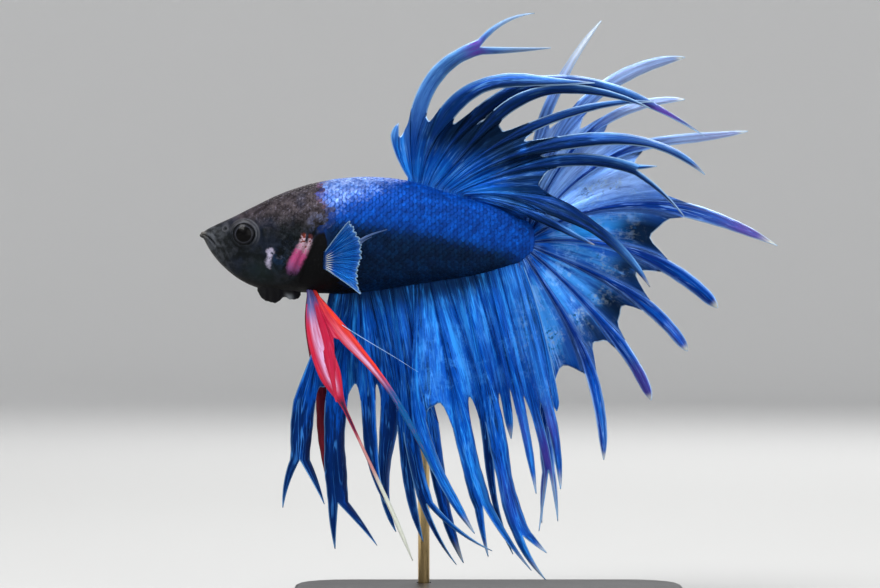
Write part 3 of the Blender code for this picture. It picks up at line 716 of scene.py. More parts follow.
def make_scales(coat, material):
    """All scales of a coat, as one mesh for each side with a bake patch for each scale."""
    a, b = np.meshgrid(
        np.linspace(0, 1, SCALE_CELLS[0] + 1), np.linspace(-1, 1, SCALE_CELLS[1] + 1), indexing="ij"
    )
    a, b = np.concatenate([a, a[-1:]]), np.concatenate([b, b[-1:]])
    tip = np.zeros_like(a)
    tip[-1] = 1
    outline = np.sqrt(np.clip(1 - (np.abs(b) ** 2.2), 0, 1))
    along = (0.12 + 0.88 * a * (0.55 + 0.45 * outline)) * coat.pitch * SCALE_OVERLAP
    across = b * coat.row * 0.62 * (0.8 + 0.2 * np.sin(math.pi * np.clip(a, 0, 0.8)))
    lift = coat.height * (a ** 1.2) * (0.75 + 0.25 * outline) - 0.03 * np.abs(b) ** 3
    lift = lift - tip * 0.09
    roots = scale_roots(coat)
    count = len(roots)
    jitter = np.random.default_rng(coat.seed).uniform(-1, 1, (count, 4))
    late, tilt, tall, bright = jitter.T[:, :, None, None]
    at0, angle0, turn, size = roots.T[:, :, None, None]
    at = at0 + along * size - 0.05 * late
    angle = angle0 + (across * size + 0.1 * tilt * (a - 0.5) * coat.pitch) * turn
    points = skin_points(at, angle, lift * size * (1 + 0.25 * tall))
    grid = np.arange(a.size).reshape(a.shape)
    cell = np.stack([grid[:-1, :-1], grid[:-1, 1:], grid[1:, 1:], grid[1:, :-1]], -1).reshape(-1, 4)
    faces = (cell[None] + (np.arange(count) * a.size)[:, None, None]).reshape(-1, 4)
    root_up = bare_body(at0, angle0)[..., 2] - AXIS_Z
    strayed = at0 + 0.5 * coat.pitch + 0.6 * tall
    marks = markings(np.broadcast_to(strayed, at.shape), np.broadcast_to(root_up, at.shape))
    shifted = a - 0.575 + 0.16 * late
    # Where each scale's painted shade gives way to its painted glint, and how strong that glint is.
    marks["scale_along"] = np.broadcast_to(0.575 + shifted * coat.contrast, at.shape)
    marks["scale_glint"] = np.broadcast_to(0.55 + 0.45 * coat.contrast * bright, at.shape)
    patch = np.stack([a - 0.5, b / 2], -1) * BAKE_PATCH
    for label, side, turned, around in (
        ("right", 1, faces, angle0), ("left", -1, faces[:, ::-1], math.pi - angle0)
    ):
        obj = mesh_of(f"{coat.name}_{label}", points * (1, side, 1), turned.tolist())
        write_marks(obj, marks)
        write_map(obj, "OFBake", arc_map(at0, around) + patch)
        obj.data.materials.append(material)


scale_material = scale_finish()
make_scales(
    Coat("trunk_scales", 16.5, 49.2, on_trunk, 1.12, 0.96, 0.1, 1.0, "skin", 11), scale_material
)
make_scales(
    Coat("head_scales", 7.8, 18.6, on_head, 0.92, 0.8, 0.04, 0.35, "head_skin", 12), scale_material
)


# ---------------------------------------------------------------- gill membrane
# The dark skin under the gill covers that a displaying male lets hang down like a beard. It is a
# thin soft flap, folded lengthwise, with a ragged lower edge, and grows from the throat.

BEARD_TOP_AT = (8.3, 14.9)  # its root's front and rear end, behind the snout
BEARD_EDGE = (  # (share of the root's length, height)
    (0.0, -8.0), (0.05, -8.6), (0.2, -9.4), (0.37, -9.75), (0.52, -9.4), (0.64, -8.85),
    (0.74, -9.15), (0.86, -9.3), (0.96, -8.9), (1.0, -8.5),
)
BEARD_HALF_WIDTH = 1.9
BEARD_ROWS, BEARD_SIDES = 60, 28
BEARD_BLACK = ((0.0012, 0.0012, 0.0018), (0.004, 0.004, 0.006))
BEARD_GREY = ((0.1, 0.115, 0.13), (0.32, 0.34, 0.37))  # a pale scrap near its rear


def beard_finish():
    material, tree, shader = finish_of(
        "gill_membrane_skin", Roughness=0.55, Specular_IOR_Level=0.12
    )
    folds = noise(tree, 700.0, 3.0)
    black, grey = mixed(tree, folds, *BEARD_BLACK), mixed(tree, folds, *BEARD_GREY)
    feed(tree, shader, Base_Color=mixed(tree, mark(tree, "scrap"), black, grey))
    raise_by(tree, shader, folds, 0.1)
    return material


def make_beard():
    """A closed flap: each section is a narrow U that reaches down to the ragged edge."""
    share, turn = np.meshgrid(
        np.linspace(0, 1, BEARD_ROWS), np.linspace(0, 2 * math.pi, BEARD_SIDES, endpoint=False),
        indexing="ij",
    )
    at = BEARD_TOP_AT[0] + (BEARD_TOP_AT[1] - BEARD_TOP_AT[0]) * share
    top = body_line("belly", at) + 0.9
    ragged = 0.07 * np.sin(share * 23 + 1) + 0.03 * np.sin(share * 57)
    edge = smooth(BEARD_EDGE, share) + ragged
    down = (1 - np.cos(turn)) / 2
    sides = np.sin(turn)
    ends = np.sqrt(np.clip(1 - (2 * share - 1) ** 6, 0.02, 1))
    width = BEARD_HALF_WIDTH * ends * (1 - 0.93 * down ** 0.8) + 0.05 + 0.1 * np.sin(share * 40) * down
    across = width * sides / np.maximum(np.abs(sides), 0.35) * np.minimum(1, np.abs(sides) * 2.2)
    points = np.stack([SNOUT_X + at, across, AXIS_Z + top + (edge - top) * down], -1)
    beard = mesh_of("gill_membrane_flap", points, tube_faces(BEARD_ROWS, BEARD_SIDES))
    write_marks(beard, {"scrap": hump(share - 0.74, 0.075) * ease(down, 0.45, 0.85)})
    beard.data.materials.append(beard_finish())
    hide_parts("gill_membrane")


make_beard()


# ---------------------------------------------------------------- eyes
# Each eye is a glossy ball set behind the skin's rim: a round black pupil, a thin pale ring
# round it and a dark slate iris with a fine mottle, all under a clear wet surface.

PUPIL = 1.16
EYE_RINGS, EYE_SIDES = 48, 64
IRIS = ((0.004, 0.0045, 0.0065), (0.013, 0.0145, 0.02))
IRIS_EDGE, PUPIL_RING = (0.004, 0.0045, 0.0055), (0.024, 0.025, 0.032)
PUPIL_BLACK = (0.0008, 0.0008, 0.001)


def eye_finish(side):
    material, tree, shader = finish_of(
        f"eye_{side}", Roughness=0.35, Coat_Weight=0.07, Coat_Roughness=0.1, Specular_IOR_Level=0.05
    )
    out = mark(tree, "from_pupil")
    iris = mixed(tree, noise(tree, 1500.0, 3.0), *IRIS)
    iris = mixed(tree, step_between(tree, out, 1.3, 1.6), iris, IRIS_EDGE)
    ring_starts = step_between(tree, out, PUPIL + 0.02, PUPIL + 0.08)
    ring = times(tree, ring_starts, step_between(tree, out, PUPIL + 0.22, PUPIL + 0.1))
    iris = mixed(tree, ring, iris, PUPIL_RING)
    beyond_pupil = step_between(tree, out, PUPIL - 0.04, PUPIL + 0.02)
    feed(tree, shader, Base_Color=mixed(tree, beyond_pupil, PUPIL_BLACK, iris))
    return material


def make_eye(side, sign):
    """A flattened ball with the pupil a little domed, as fish lenses are."""
    polar, turn = np.meshgrid(
        np.linspace(0.012, math.pi - 0.012, EYE_RINGS),
        np.linspace(0, 2 * math.pi, EYE_SIDES, endpoint=False), indexing="ij",
    )
    r = EYE_RADIUS * np.sin(polar)
    out = EYE_DEPTH * np.cos(polar) + 0.1 * hump(r, 0.8) * (polar < math.pi / 2)
    centre = (SNOUT_X + EYE_BEHIND_SNOUT, sign * EYE_SIDE, AXIS_Z + EYE_ABOVE_AXIS)
    points = np.stack([
        centre[0] + r * np.cos(turn), centre[1] + sign * (out - 0.04), centre[2] + r * np.sin(turn) * sign
    ], -1)
    eye = mesh_of(f"eyeball_{side}", points, tube_faces(EYE_RINGS, EYE_SIDES, turned=True))
    write_marks(eye, {"from_pupil": r})
    eye.data.materials.append(eye_finish(side))
    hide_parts(f"eye_{side}")


make_eye("left", -1)
make_eye("right", 1)


# ---------------------------------------------------------------- dorsal fin
# The back fin: ten soft rays joined by membrane near the back, each running on as a long free
# ribbon that arches towards the tail. The rays are bone, thin as hairs, inside a film of skin.

# A ray has a heading, in degrees from the tail's direction with up positive, at its root, at
# one and two thirds of its length and at its tip. `web` is the share that the membrane
# reaches, `width` the blade's full width there, and `side` how far the tip lies to the right.
# A fork parts a ribbon in two `at` a share of the ray. Its own tip sets off at the angle `own`
# from the ribbon's heading, and the second tip, `length` long, at `turn`, to end at `curl`.
Ray = namedtuple("Ray", "root length headings web width side fork", defaults=(None,))
Fork = namedtuple("Fork", "at own turn curl length")
ROOT_WIDTH, TIP_WIDTH = 0.35, 0.12
ROOT_RISE = 0.45  # how far outside the body's line a ray's length starts
LEAN_CURVE = 0.9  # 1 would lean a ray out evenly, and less than 1 leans it early

DORSAL = (
    Ray(31.4, 8.8, (124, 112, 96, 60), 0.78, 1.3, -0.4),
    Ray(32.2, 35.0, (96, 71, 21, 4), 0.30, 2.5, -2.6, Fork(0.70, -18, 34, -14, 9.8)),
    Ray(33.2, 34.8, (84, 50, 0, -2), 0.32, 2.7, -6.6),
    Ray(34.3, 50.4, (66, 32, -17, -34), 0.27, 2.2, -4.2),
    Ray(35.4, 38.6, (50, 44, -1, -26), 0.37, 2.0, -7.6),
    Ray(36.5, 35.5, (45, 29, 15, -3), 0.46, 1.6, -5.0),
    Ray(37.6, 41.4, (37, 15, -4, -46), 0.44, 2.2, -7.4),
    Ray(38.7, 38.0, (25, 12, -14, -52), 0.42, 2.0, -5.6, Fork(0.74, -12, 20, 26, 2.8)),
    Ray(39.8, 33.0, (7, -17, -37, -60), 0.40, 2.8, -7.2),
    Ray(41.0, 20.0, (-9, -19, -28, -26), 0.55, 1.4, -5.0),
)
# The film behind the last ray is held down along the back.
DORSAL_HEM = Ray(41.8, 8.4, (-15, -20, -24, -28), 0.97, 0.4, 0.0)
HEM_DROP = 0.95
DORSAL_TWISTS = (10, -24, 30, 34, -30, 26, 32, -26, 34, -18, 0)  # of free ribbons, in degrees
DORSAL_TAPERS = (1.8, 1.8, 2.4, 3.2, 2.2, 2.0, 4.0, 1.8, 2.2, 1.8, 1.8)
# How dark each ray's film gets towards the membrane's edge: partly the fin's own dark blue, partly
# painted shade.
DORSAL_INK_AND_SHADE = (
    (0, 0.0), (1.0, 0.25), (1.8, 0.7), (3, 1.0), (5, 1.0), (6.5, 0.95), (8, 0.8), (9, 0.8),
)

WEB_ROWS, FREE_ROWS, TIP_ROWS = 36, 46, 14
SUNK_ROWS, SUNK_DEPTH = 2, 1.5  # rows of the film that lie inside the body, and how deep
BLADE_COLUMNS, WEB_COLUMNS = 12, 8
RAY_SPACING = 5.0  # the streaks' own measure from one ray to the next
RAY_HALF, WEB_SPAN = 0.27, 0.46  # the shares of it that half a ray and the membrane take
FILM, RIB, THIN_EDGE = 0.05, 0.13, 0.03  # half of the thickness of membrane, rib and edge


def heading_at(ray, share):
    """A ray's heading in radians at a share of its length."""
    return np.radians(smooth([(k / 3, h) for k, h in enumerate(ray.headings)], share))


def ray_line(ray, root, shares, sunk):
    """Points and headings at some shares of a ray, and before them those sunk in the body."""
    strides = 480
    middle = (np.arange(strides) + 0.5) / strides
    heading = heading_at(ray, middle)
    stride = ray.length / strides
    ends = np.linspace(0, 1, strides + 1)
    x, z = (
        start + np.concatenate([[0], np.cumsum(way(heading))]) * stride
        for start, way in ((root[0], np.cos), (root[2], np.sin))
    )
    lean = root[1] + ray.side * shares ** LEAN_CURVE
    points = np.stack([np.interp(shares, ends, x), lean, np.interp(shares, ends, z)], -1)
    back = sunk or (-SUNK_DEPTH * math.cos(heading[0]), 0.0, -SUNK_DEPTH * math.sin(heading[0]))
    inside = points[0] + np.linspace(1, 0, SUNK_ROWS + 1)[:-1, None] * np.array(back)
    heading = heading_at(ray, shares)
    return np.concatenate([inside, points]), np.concatenate([heading[:1]] * SUNK_ROWS + [heading])


def blade_width(ray, share, taper):
    """A ray's full width: it grows to the edge of the membrane, and then tapers to the tip."""
    rise = share / ray.web
    joined = ROOT_WIDTH + (ray.width - ROOT_WIDTH) * rise * rise
    beyond = np.clip((share - ray.web) / (1 - ray.web), 0, 1)
    free = TIP_WIDTH + (ray.width - TIP_WIDTH) * (1 - beyond ** taper)
    free = np.full_like(share, ray.width) if ray.fork else free
    return np.where(share < ray.web, joined, free)


class FinSheet:
    """An open sheet, gathered from strips that share their edges, with marks at each point."""

    def __init__(self):
        self.points, self.marks, self.cells, self.count = [], [], [], 0

    def place(self, points, **marks):
        """Adds a grid of points, and gives the grid of their numbers."""
        shape = points.shape[:-1]
        numbers = self.count + np.arange(math.prod(shape)).reshape(shape)
        self.points.append(points.reshape(-1, 3))
        self.marks.append({key: np.broadcast_to(value, shape).ravel() for key, value in marks.items()})
        self.count += numbers.size
        return numbers

    def fill(self, grid):
        cell = np.stack([grid[:-1, :-1], grid[1:, :-1], grid[1:, 1:], grid[:-1, 1:]], -1)
        self.cells.append(cell.reshape(-1, 4))

    def gathered(self):
        marks = {key: np.concatenate([m[key] for m in self.marks]) for key in self.marks[0]}
        return np.concatenate(self.points), np.concatenate(self.cells), marks


def across_ribbon(points, heading, width, c, twist, bow):
    """A ribbon's points for places c across it, -1 to 1, turned about its line by `twist`."""
    level = np.stack([-np.sin(heading), np.zeros_like(heading), np.cos(heading)], -1)
    out = np.array((0, 1, 0))
    half = (width / 2)[:, None, None] * c[None, :, None]
    turned = level[:, None, :] * np.cos(twist)[:, None, None] + out * np.sin(twist)[:, None, None]
    bulge = (bow * width)[:, None, None] * (1 - c[None, :, None] ** 2) * out
    return points[:, None, :] + half * turned - bulge


def rib_profile(c, spread):
    """The two branches of a ray across its blade, which part as they leave the root."""
    return hump(c[None, :] - spread[:, None], 0.2) + hump(c[None, :] + spread[:, None], 0.2)


def add_blade(sheet, k, ray, root, taper, twist, ripple, sunk, widths=None):
    """One ray with its free ribbon. Gives its two edges as far as the membrane reaches."""
    stop = ray.fork.at if ray.fork else 1.0
    shares = np.concatenate([
        np.linspace(0, ray.web, WEB_ROWS + 1), np.linspace(ray.web, stop, FREE_ROWS + 1)[1:]
    ])
    points, heading = ray_line(ray, root, shares, sunk)
    shares = np.concatenate([np.zeros(SUNK_ROWS), shares])
    c = np.linspace(-1, 1, BLADE_COLUMNS + 1)
    free = ease(shares, ray.web * 0.75, ray.web + (1 - ray.web) * 0.45)
    mm = shares * ray.length
    wave = 1 + free * (0.04 * np.sin(mm * 0.7 + k * 2.1) + 0.015 * np.sin(mm * 2.3 + k))
    width = (smooth(widths, shares) if widths else blade_width(ray, shares, taper)) * wave
    angle = np.radians(twist) * free * (1 + 0.35 * np.sin(mm * 0.32 + k * 1.7))
    bow = (0.05 + 0.2 * free) * (1 if twist > 0 else 0.6)
    grid = across_ribbon(points, heading, width, c, angle, bow)
    grid[..., 1] += ripple * (free * np.sin(mm * 0.4 + k * 2.4))[:, None]
    spread = 0.42 * ease(shares, ray.web * 0.15, ray.web * 1.1)
    rib = np.clip(rib_profile(c, spread), 0, 1)
    thin = 1 - ease(np.abs(c)[None, :] * np.ones_like(rib), 0.75, 1.0) * free[:, None]
    fade = (1 - 0.75 * shares)[:, None]
    marks = dict(
        ray=k + 0.0 * rib, share=shares[:, None], web=0.0, rib=rib,
        across=RAY_SPACING * (k + RAY_HALF * c[None, :]), along=mm[:, None], free=free[:, None],
        thick=THIN_EDGE + (FILM + RIB * rib * fade - THIN_EDGE) * thin, side=c[None, :],
    )
    numbers = sheet.place(grid, **marks)
    sheet.fill(numbers)
    if ray.fork:
        add_fork(sheet, k, ray, grid[-1], numbers[-1], heading[-1])
    edge = slice(0, SUNK_ROWS + WEB_ROWS + 1)
    return (grid[edge, 0], numbers[edge, 0]), (grid[edge, -1], numbers[edge, -1])


def add_fork(sheet, k, ray, last, numbers, heading):
    """The two tips that a forked blade parts into, each from one half of its last row."""
    fork, half = ray.fork, BLADE_COLUMNS // 2
    own = (fork.own, heading_at(ray, np.array(1.0)) - heading, ray.length * (1 - fork.at))
    second = (fork.turn, math.radians(fork.curl), fork.length)
    upper, lower = (second, own) if fork.turn > fork.own else (own, second)
    for (start, finish, length), columns in ((lower, slice(0, half + 1)), (upper, slice(half, None))):
        v = np.linspace(0, 1, TIP_ROWS + 1)
        towards = heading + math.radians(start) + (finish - math.radians(start)) * v
        step = length / TIP_ROWS
        middle = (towards[1:] + towards[:-1]) / 2
        path = np.zeros((TIP_ROWS + 1, 3))
        path[1:, 0] = np.cumsum(np.cos(middle)) * step
        path[1:, 2] = np.cumsum(np.sin(middle)) * step
        path[:, 1] = ray.side * 0.25 * v
        first = last[columns]
        path += first.mean(0)
        across = first - first.mean(0)
        full = np.linalg.norm(first[-1] - first[0])
        narrow = (TIP_WIDTH + (full - TIP_WIDTH) * (1 - v ** 1.3)) / full
        turn = towards - towards[0]
        cos, sin = np.cos(turn)[:, None], np.sin(turn)[:, None]
        x = across[None, :, 0] * cos - across[None, :, 2] * sin
        z = across[None, :, 0] * sin + across[None, :, 2] * cos
        offset = np.stack([x, np.broadcast_to(across[None, :, 1], x.shape), z], -1)
        grid = path[:, None, :] + offset * narrow[:, None, None]
        c = np.linspace(-1, 1, half + 1)
        blade_c = np.linspace(-1, 1, BLADE_COLUMNS + 1)[columns]
        rib = hump(c, 0.4)[None, :] * np.ones((TIP_ROWS, 1))
        share = (fork.at + (1 - fork.at) * v)[1:, None]
        fresh = sheet.place(
            grid[1:], ray=float(k), share=share, web=0.0, rib=rib, free=1.0, side=c[None, :],
            across=RAY_SPACING * (k + RAY_HALF * blade_c)[None, :],
            along=share * ray.length, thick=THIN_EDGE + 0.08 * rib * (1 - v[1:, None]),
        )
        sheet.fill(np.concatenate([numbers[columns][None], fresh]))


def add_web(sheet, k, one, other, rays, notch, pleat):
    """The membrane between two rays. Its free edge dips, and it billows between them."""
    (a_points, a_numbers), (b_points, b_numbers) = one, other
    u = np.arange(1, WEB_COLUMNS + 1) / (WEB_COLUMNS + 1)
    steps = np.arange(-SUNK_ROWS, WEB_ROWS + 1)[:, None]
    dip = notch * (1 - np.abs(2 * u - 1) ** 2.4) + 0.02 * np.sin(u * 9 + k * 2)
    at = SUNK_ROWS + np.where(steps < 0, steps, steps * (1 - dip[None, :]))
    low = np.minimum(at.astype(int), SUNK_ROWS + WEB_ROWS - 1)
    rest = (at - low)[..., None]
    a = a_points[low] * (1 - rest) + a_points[low + 1] * rest
    b = b_points[low] * (1 - rest) + b_points[low + 1] * rest
    grid = a * (1 - u[None, :, None]) + b * u[None, :, None]
    down = np.maximum(at - SUNK_ROWS, 0) / WEB_ROWS
    billow = np.sin(math.pi * u)[None, :] * np.sin(math.pi * down / 1.5)
    ribs = np.cos(2 * math.pi * u * 2)[None, :] * ease(down, 0.05, 0.3) * (1 - ease(down, 0.8, 1.0))
    grid[..., 1] += pleat * (-1) ** k * billow + 0.09 * ribs
    share_a, share_b = rays[k].web, rays[k + 1].web
    web_share = share_a * (1 - u) + share_b * u
    length = rays[k].length * share_a * (1 - u) + rays[k + 1].length * share_b * u
    numbers = sheet.place(
        grid, ray=k + 0.0 * grid[..., 0] + u[None, :], share=down * web_share[None, :],
        web=np.sin(math.pi * u)[None, :] ** 0.6 * np.ones_like(down), rib=0.0, free=0.0, side=0.0,
        across=RAY_SPACING * (k + RAY_HALF + WEB_SPAN * u)[None, :], along=down * length[None, :],
        thick=FILM,
    )
    sheet.fill(np.concatenate([a_numbers[:, None], numbers, b_numbers[:, None]], axis=1))


def fin_sheet(
    rays, roots, twists, turn=1, taper=1.8, notch=0.16, pleat=0.35, ripple=0.25, sunk=None,
    widths=None,
):
    """All blades of a fin and the membrane between neighbours. `turn` is 1 where the next ray
    lies clockwise, and -1 otherwise. Tapers and widths may differ from ray to ray."""
    sheet = FinSheet()
    tapers = np.broadcast_to(taper, len(rays))
    edges = [
        add_blade(sheet, k, ray, root, blunt, twist, ripple, sunk, widths and widths[k])
        for k, (ray, root, twist, blunt) in enumerate(zip(rays, roots, twists, tapers))
    ]
    near, far = (0, 1) if turn > 0 else (1, 0)
    for k, (one, other) in enumerate(zip(edges, edges[1:])):
        add_web(sheet, k, one[near], other[far], rays, notch, pleat)
    return sheet


def free_edges(cells, marks):
    """Each edge that only one cell has, in the order of that cell, and the points of those
    that are not at the fin's root."""
    pairs = np.concatenate([cells[:, [k, (k + 1) % 4]] for k in range(4)])
    keys = np.sort(pairs, axis=1)
    _, first, counts = np.unique(keys, axis=0, return_index=True, return_counts=True)
    lone = pairs[first[counts == 1]]
    rim = np.unique(lone)
    return lone, rim[marks["share"][rim] > 0.02]


def rim_distance(points, rim):
    """How far each point lies from the nearest point of the free edge."""
    tree = kdtree.KDTree(len(rim))
    for number in rim:
        tree.insert(points[number], int(number))
    tree.balance()
    return np.array([tree.find(p)[2] for p in points])


def two_sided(name, sheet, paint, material):
    """The fin as a closed body: the sheet's two faces, and a narrow wall along its edges."""
    points, cells, marks = sheet.gathered()
    corner = points[cells]
    flat = np.cross(corner[:, 2] - corner[:, 0], corner[:, 3] - corner[:, 1])
    normal = np.zeros_like(points)
    for k in range(4):
        np.add.at(normal, cells[:, k], flat)
    normal /= np.linalg.norm(normal, axis=1, keepdims=True) + 1e-12
    lone, rim = free_edges(cells, marks)
    marks["to_rim"] = rim_distance(points, rim)
    off = normal * marks["thick"][:, None]
    count = len(points)
    wall = np.stack([lone[:, 1], lone[:, 0], lone[:, 0] + count, lone[:, 1] + count], -1)
    faces = np.concatenate([cells, cells[:, ::-1] + count, wall])
    obj = mesh_of(name, np.concatenate([points + off, points - off]), faces.tolist())
    plain = {key: 0.0 * marks["share"] for key in FIN_MARKS}
    shown = {**plain, "rib": marks["rib"], "to_rim": marks["to_rim"], **paint(**marks)}
    write_marks(obj, {key: np.tile(value, 2) for key, value in shown.items()})
    write_map(obj, "rays", np.tile(np.stack([marks["across"], marks["along"]], -1), (2, 1)))
    obj.data.materials.append(material)
    return obj


# What each fin's paint function may lay on: lighter or darker streaks, in places painted light and
# shade, pale iridescent film, a pale crust, flecks, dark blue that is partly the fin's own and partly
# painted shade, a tint of its own, and cream.
FIN_MARKS = ("tone", "veil", "lace", "frost", "ink_and_shade", "tip", "cream")
INK_AND_SHADE, CREAM = (0.0016, 0.012, 0.042), (0.55, 0.57, 0.5)
LACE, LACE_GAPS = (0.24, 0.31, 0.36), (0.006, 0.05, 0.085)


def fin_colours():
    """Streaked iridescent fin: colours run along the rays, and change by the mesh's marks."""
    tree, given, out = group(
        "fin_colours",
        {
            "colour": ("Deep", "Royal", "Light", "Veil", "Tip", "Rim", "Rib", "Frost"),
            "number": ("Contrast", "Fineness", "Rib Share", "Shine"),
        },
        {"colour": ("Color",), "number": ("Roughness", "Metallic", "Height")},
    )
    given = given.outputs
    place = node(tree, "UVMap", {"uv_map": "rays"}).outputs["UV"]
    stretched = node(tree, "Mapping", Vector=place, Scale=(1.0, 0.07, 1.0)).outputs["Vector"]
    broad = noise(tree, 0.75, 2.0, stretched, Distortion=0.25)
    fine = noise(tree, 4.0, 4.0, stretched, Roughness=0.65, Distortion=0.35)
    folds = noise(tree, 1.7, 1.0, stretched, Distortion=0.2)
    patches = noise(tree, 300.0, 2.0)
    spots = noise(tree, 1300.0, 4.0, Roughness=0.7)

    tone = node(tree, "Mix", A=broad, B=fine, Factor=given["Fineness"]).outputs[0]
    tone = plus(tree, swing(tree, tone, given["Contrast"]), 0.5)
    tone = plus(tree, tone, times(tree, mark(tree, "tone"), 0.5))
    colour = mixed(tree, step_between(tree, tone, 0.2, 0.5), given["Deep"], given["Royal"])
    colour = mixed(tree, step_between(tree, tone, 0.52, 0.9), colour, given["Light"])

    film = plus(tree, times(tree, fine, 0.6), times(tree, broad, 0.4))
    veil = times(tree, mark(tree, "veil"), step_between(tree, film, 0.26, 0.56))
    # Painted highlights where the film's fine creases would catch the light.
    crease_highlights = times(
        tree, step_between(tree, folds, 0.47, 0.51), step_between(tree, folds, 0.56, 0.52)
    )
    crease_highlights = times(tree, crease_highlights, step_between(tree, patches, 0.4, 0.6))
    crease_highlights = times(tree, times(tree, crease_highlights, given["Shine"]), 0.8)
    islands = times(tree, plus(tree, spots, patches), 0.5)
    flecks = times(tree, mark(tree, "frost"), step_between(tree, islands, 0.49, 0.59))
    # Dark blue, partly the fin's own and partly painted shade, broken up by the streaks and patches.
    inky = plus(tree, tone, swing(tree, patches, 1.6))
    inky = times(tree, mark(tree, "ink_and_shade"), step_between(tree, inky, 1.3, 0.6))
    crusted = times(tree, mark(tree, "lace"), step_between(tree, patches, 0.42, 0.58))
    lace = times(tree, times(tree, crusted, step_between(tree, spots, 0.5, 0.62)), 0.7)
    gaps = times(tree, crusted, step_between(tree, spots, 0.44, 0.36))
    ribbed = times(tree, mark(tree, "rib"), given["Rib Share"])
    tip = times(tree, mark(tree, "tip"), step_between(tree, fine, 0.25, 0.55))
    # Pale free edges: painted rim light on the blue fins, and on the crimson ones their own edge colour.
    edge = times(tree, step_between(tree, mark(tree, "to_rim"), 0.22, 0.07), 0.8)
    for share, tint in (
        (veil, given["Veil"]), (crease_highlights, given["Veil"]), (flecks, given["Frost"]), (inky, INK_AND_SHADE),
        (lace, LACE), (gaps, LACE_GAPS), (ribbed, given["Rib"]), (tip, given["Tip"]),
        (mark(tree, "cream"), CREAM), (edge, given["Rim"]),
    ):
        colour = mixed(tree, share, colour, tint)
    chalky = times(tree, maths(tree, "MAXIMUM", veil, mark(tree, "cream")), 0.75)
    feed(
        tree, out, Color=colour, Roughness=plus(tree, times(tree, fine, 0.2), 0.3),
        Metallic=times(tree, given["Shine"], maths(tree, "SUBTRACT", 1.0, chalky)),
        Height=plus(tree, fine, times(tree, broad, 0.5)),
    )
    return tree


FIN_COLOURS = fin_colours()


def fin_finish(name, shine=0.7, **colours):
    material, tree, shader = finish_of(name, Specular_IOR_Level=0.1)
    looks = node(tree, "Group", {"node_tree": FIN_COLOURS}, Shine=shine, **colours).outputs
    feed(
        tree, shader, Base_Color=looks["Color"], Roughness=looks["Roughness"],
        Metallic=looks["Metallic"],
    )
    raise_by(tree, shader, looks["Height"], 0.12)
    return material


def line_roots(rays, line, rise, side=0.0):
    """Where rays leave the body's back or belly."""
    heights = body_line(line, np.array([r.root for r in rays]))
    return [(SNOUT_X + r.root, side, AXIS_Z + up + rise) for r, up in zip(rays, heights)]


def way_to_edge(ray, share, rays):
    """0 at the root of the fin, and 1 where the membrane ends."""
    return share / np.interp(ray, np.arange(len(rays)), [r.web for r in rays])


def dorsal_paint(ray, share, free, side, to_rim, **others):
    """Dark in the middle of the film and round the slots, partly painted shade, and light along its
    front and low rear. Free ribbons get painted light on one side, pale edges partly painted
    highlight, and the last ones painted shadow.
    """
    to_edge = way_to_edge(ray, share, DORSAL)
    # Painted light along one side of each free ribbon and painted shade along the other.
    lit_side = side * free * (1 - ease(share, 0.92, 1.0))
    # Painted shadow on the last ribbons, above the tail stalk.
    last = ease(ray, 7.4, 7.9) * (1 - ease(share, 0.62, 0.82))
    # Pale edges of the free ribbons, partly their own colour and partly painted highlight, stronger on
    # the lit side.
    pale_and_lit_edges = 0.85 * ease(side, 0.15, 0.9) + 0.4 * ease(-side, 0.5, 1.0)
    return {
        "tone": 0.3 * (1 - ease(to_edge, 0.1, 0.5)) + 0.75 * lit_side - 0.2 * free
        + 0.7 * hump(ray - 8.4, 0.5) * hump(to_edge - 0.5, 0.35) + 0.45 * hump(ray, 0.7)
        + 0.35 * free * ease(share, 0.5, 0.8) - 0.5 * last * free,
        "veil": 0.55 * hump(ray - 8.5, 0.35) * hump(to_edge - 0.45, 0.25)
        + free * pale_and_lit_edges * (1 - 0.85 * last) + 0.4 * free * ease(share, 0.5, 0.85) * (1 - last)
        + 0.4 * hump(ray - 1, 0.45) * ease(share, 0.12, 0.35),
        "ink_and_shade": np.clip(
            smooth(DORSAL_INK_AND_SHADE, ray) * ease(to_edge, 0.2, 0.65)
            * (1 - 0.55 * free * ease(side, -0.6, 0.5)) + 0.35 * last * free, 0, 1
        ),
        "tip": hump(ray - 1, 0.4) * hump(share - 0.68, 0.05)
        + hump(ray - 3, 0.4) * hump(share - 0.87, 0.05) + 0.2 * ease(share, 0.9, 1.0),
        "cream": 0.5 * ease(share, 0.93, 1.0) + 0.3 * hump(ray - 1, 0.4) * ease(share, 0.72, 0.9),
        "to_rim": to_rim + 0.3 * ease(ray, 9.1, 9.5) * (1 - free) + 0.2 * ease(ray, 7.4, 7.8),
    }


def dorsal_sheet():
    rays = (*DORSAL, DORSAL_HEM)
    *roots, (x, y, z) = line_roots(rays, "back", ROOT_RISE)
    roots.append((x, y, z - HEM_DROP))
    return fin_sheet(rays, roots, DORSAL_TWISTS, taper=DORSAL_TAPERS, sunk=(-0.35, 0.0, -1.45))


blue_dorsal = fin_finish(
    "dorsal_blue", Deep=(0.0004, 0.011, 0.06), Royal=(0.001, 0.055, 0.34), Light=(0.012, 0.18, 0.64),
    Veil=(0.13, 0.36, 0.78), Tip=(0.1, 0.05, 0.34), Rim=(0.3, 0.48, 0.72), Rib=(0.002, 0.025, 0.2),
    Frost=(0.2, 0.4, 0.7), Contrast=1.4, Fineness=0.3, Rib_Share=0.4,
)
dorsal = two_sided("dorsal_fin_rays", dorsal_sheet(), dorsal_paint, blue_dorsal)
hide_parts("dorsal_fin")


# ---------------------------------------------------------------- tail fin
# Ten rays fan out from the rounded end of the tail stalk. The film between them is pale and
# speckled, darkest by the scalloped edge, partly with painted shade, and each ray ends in a free spike.

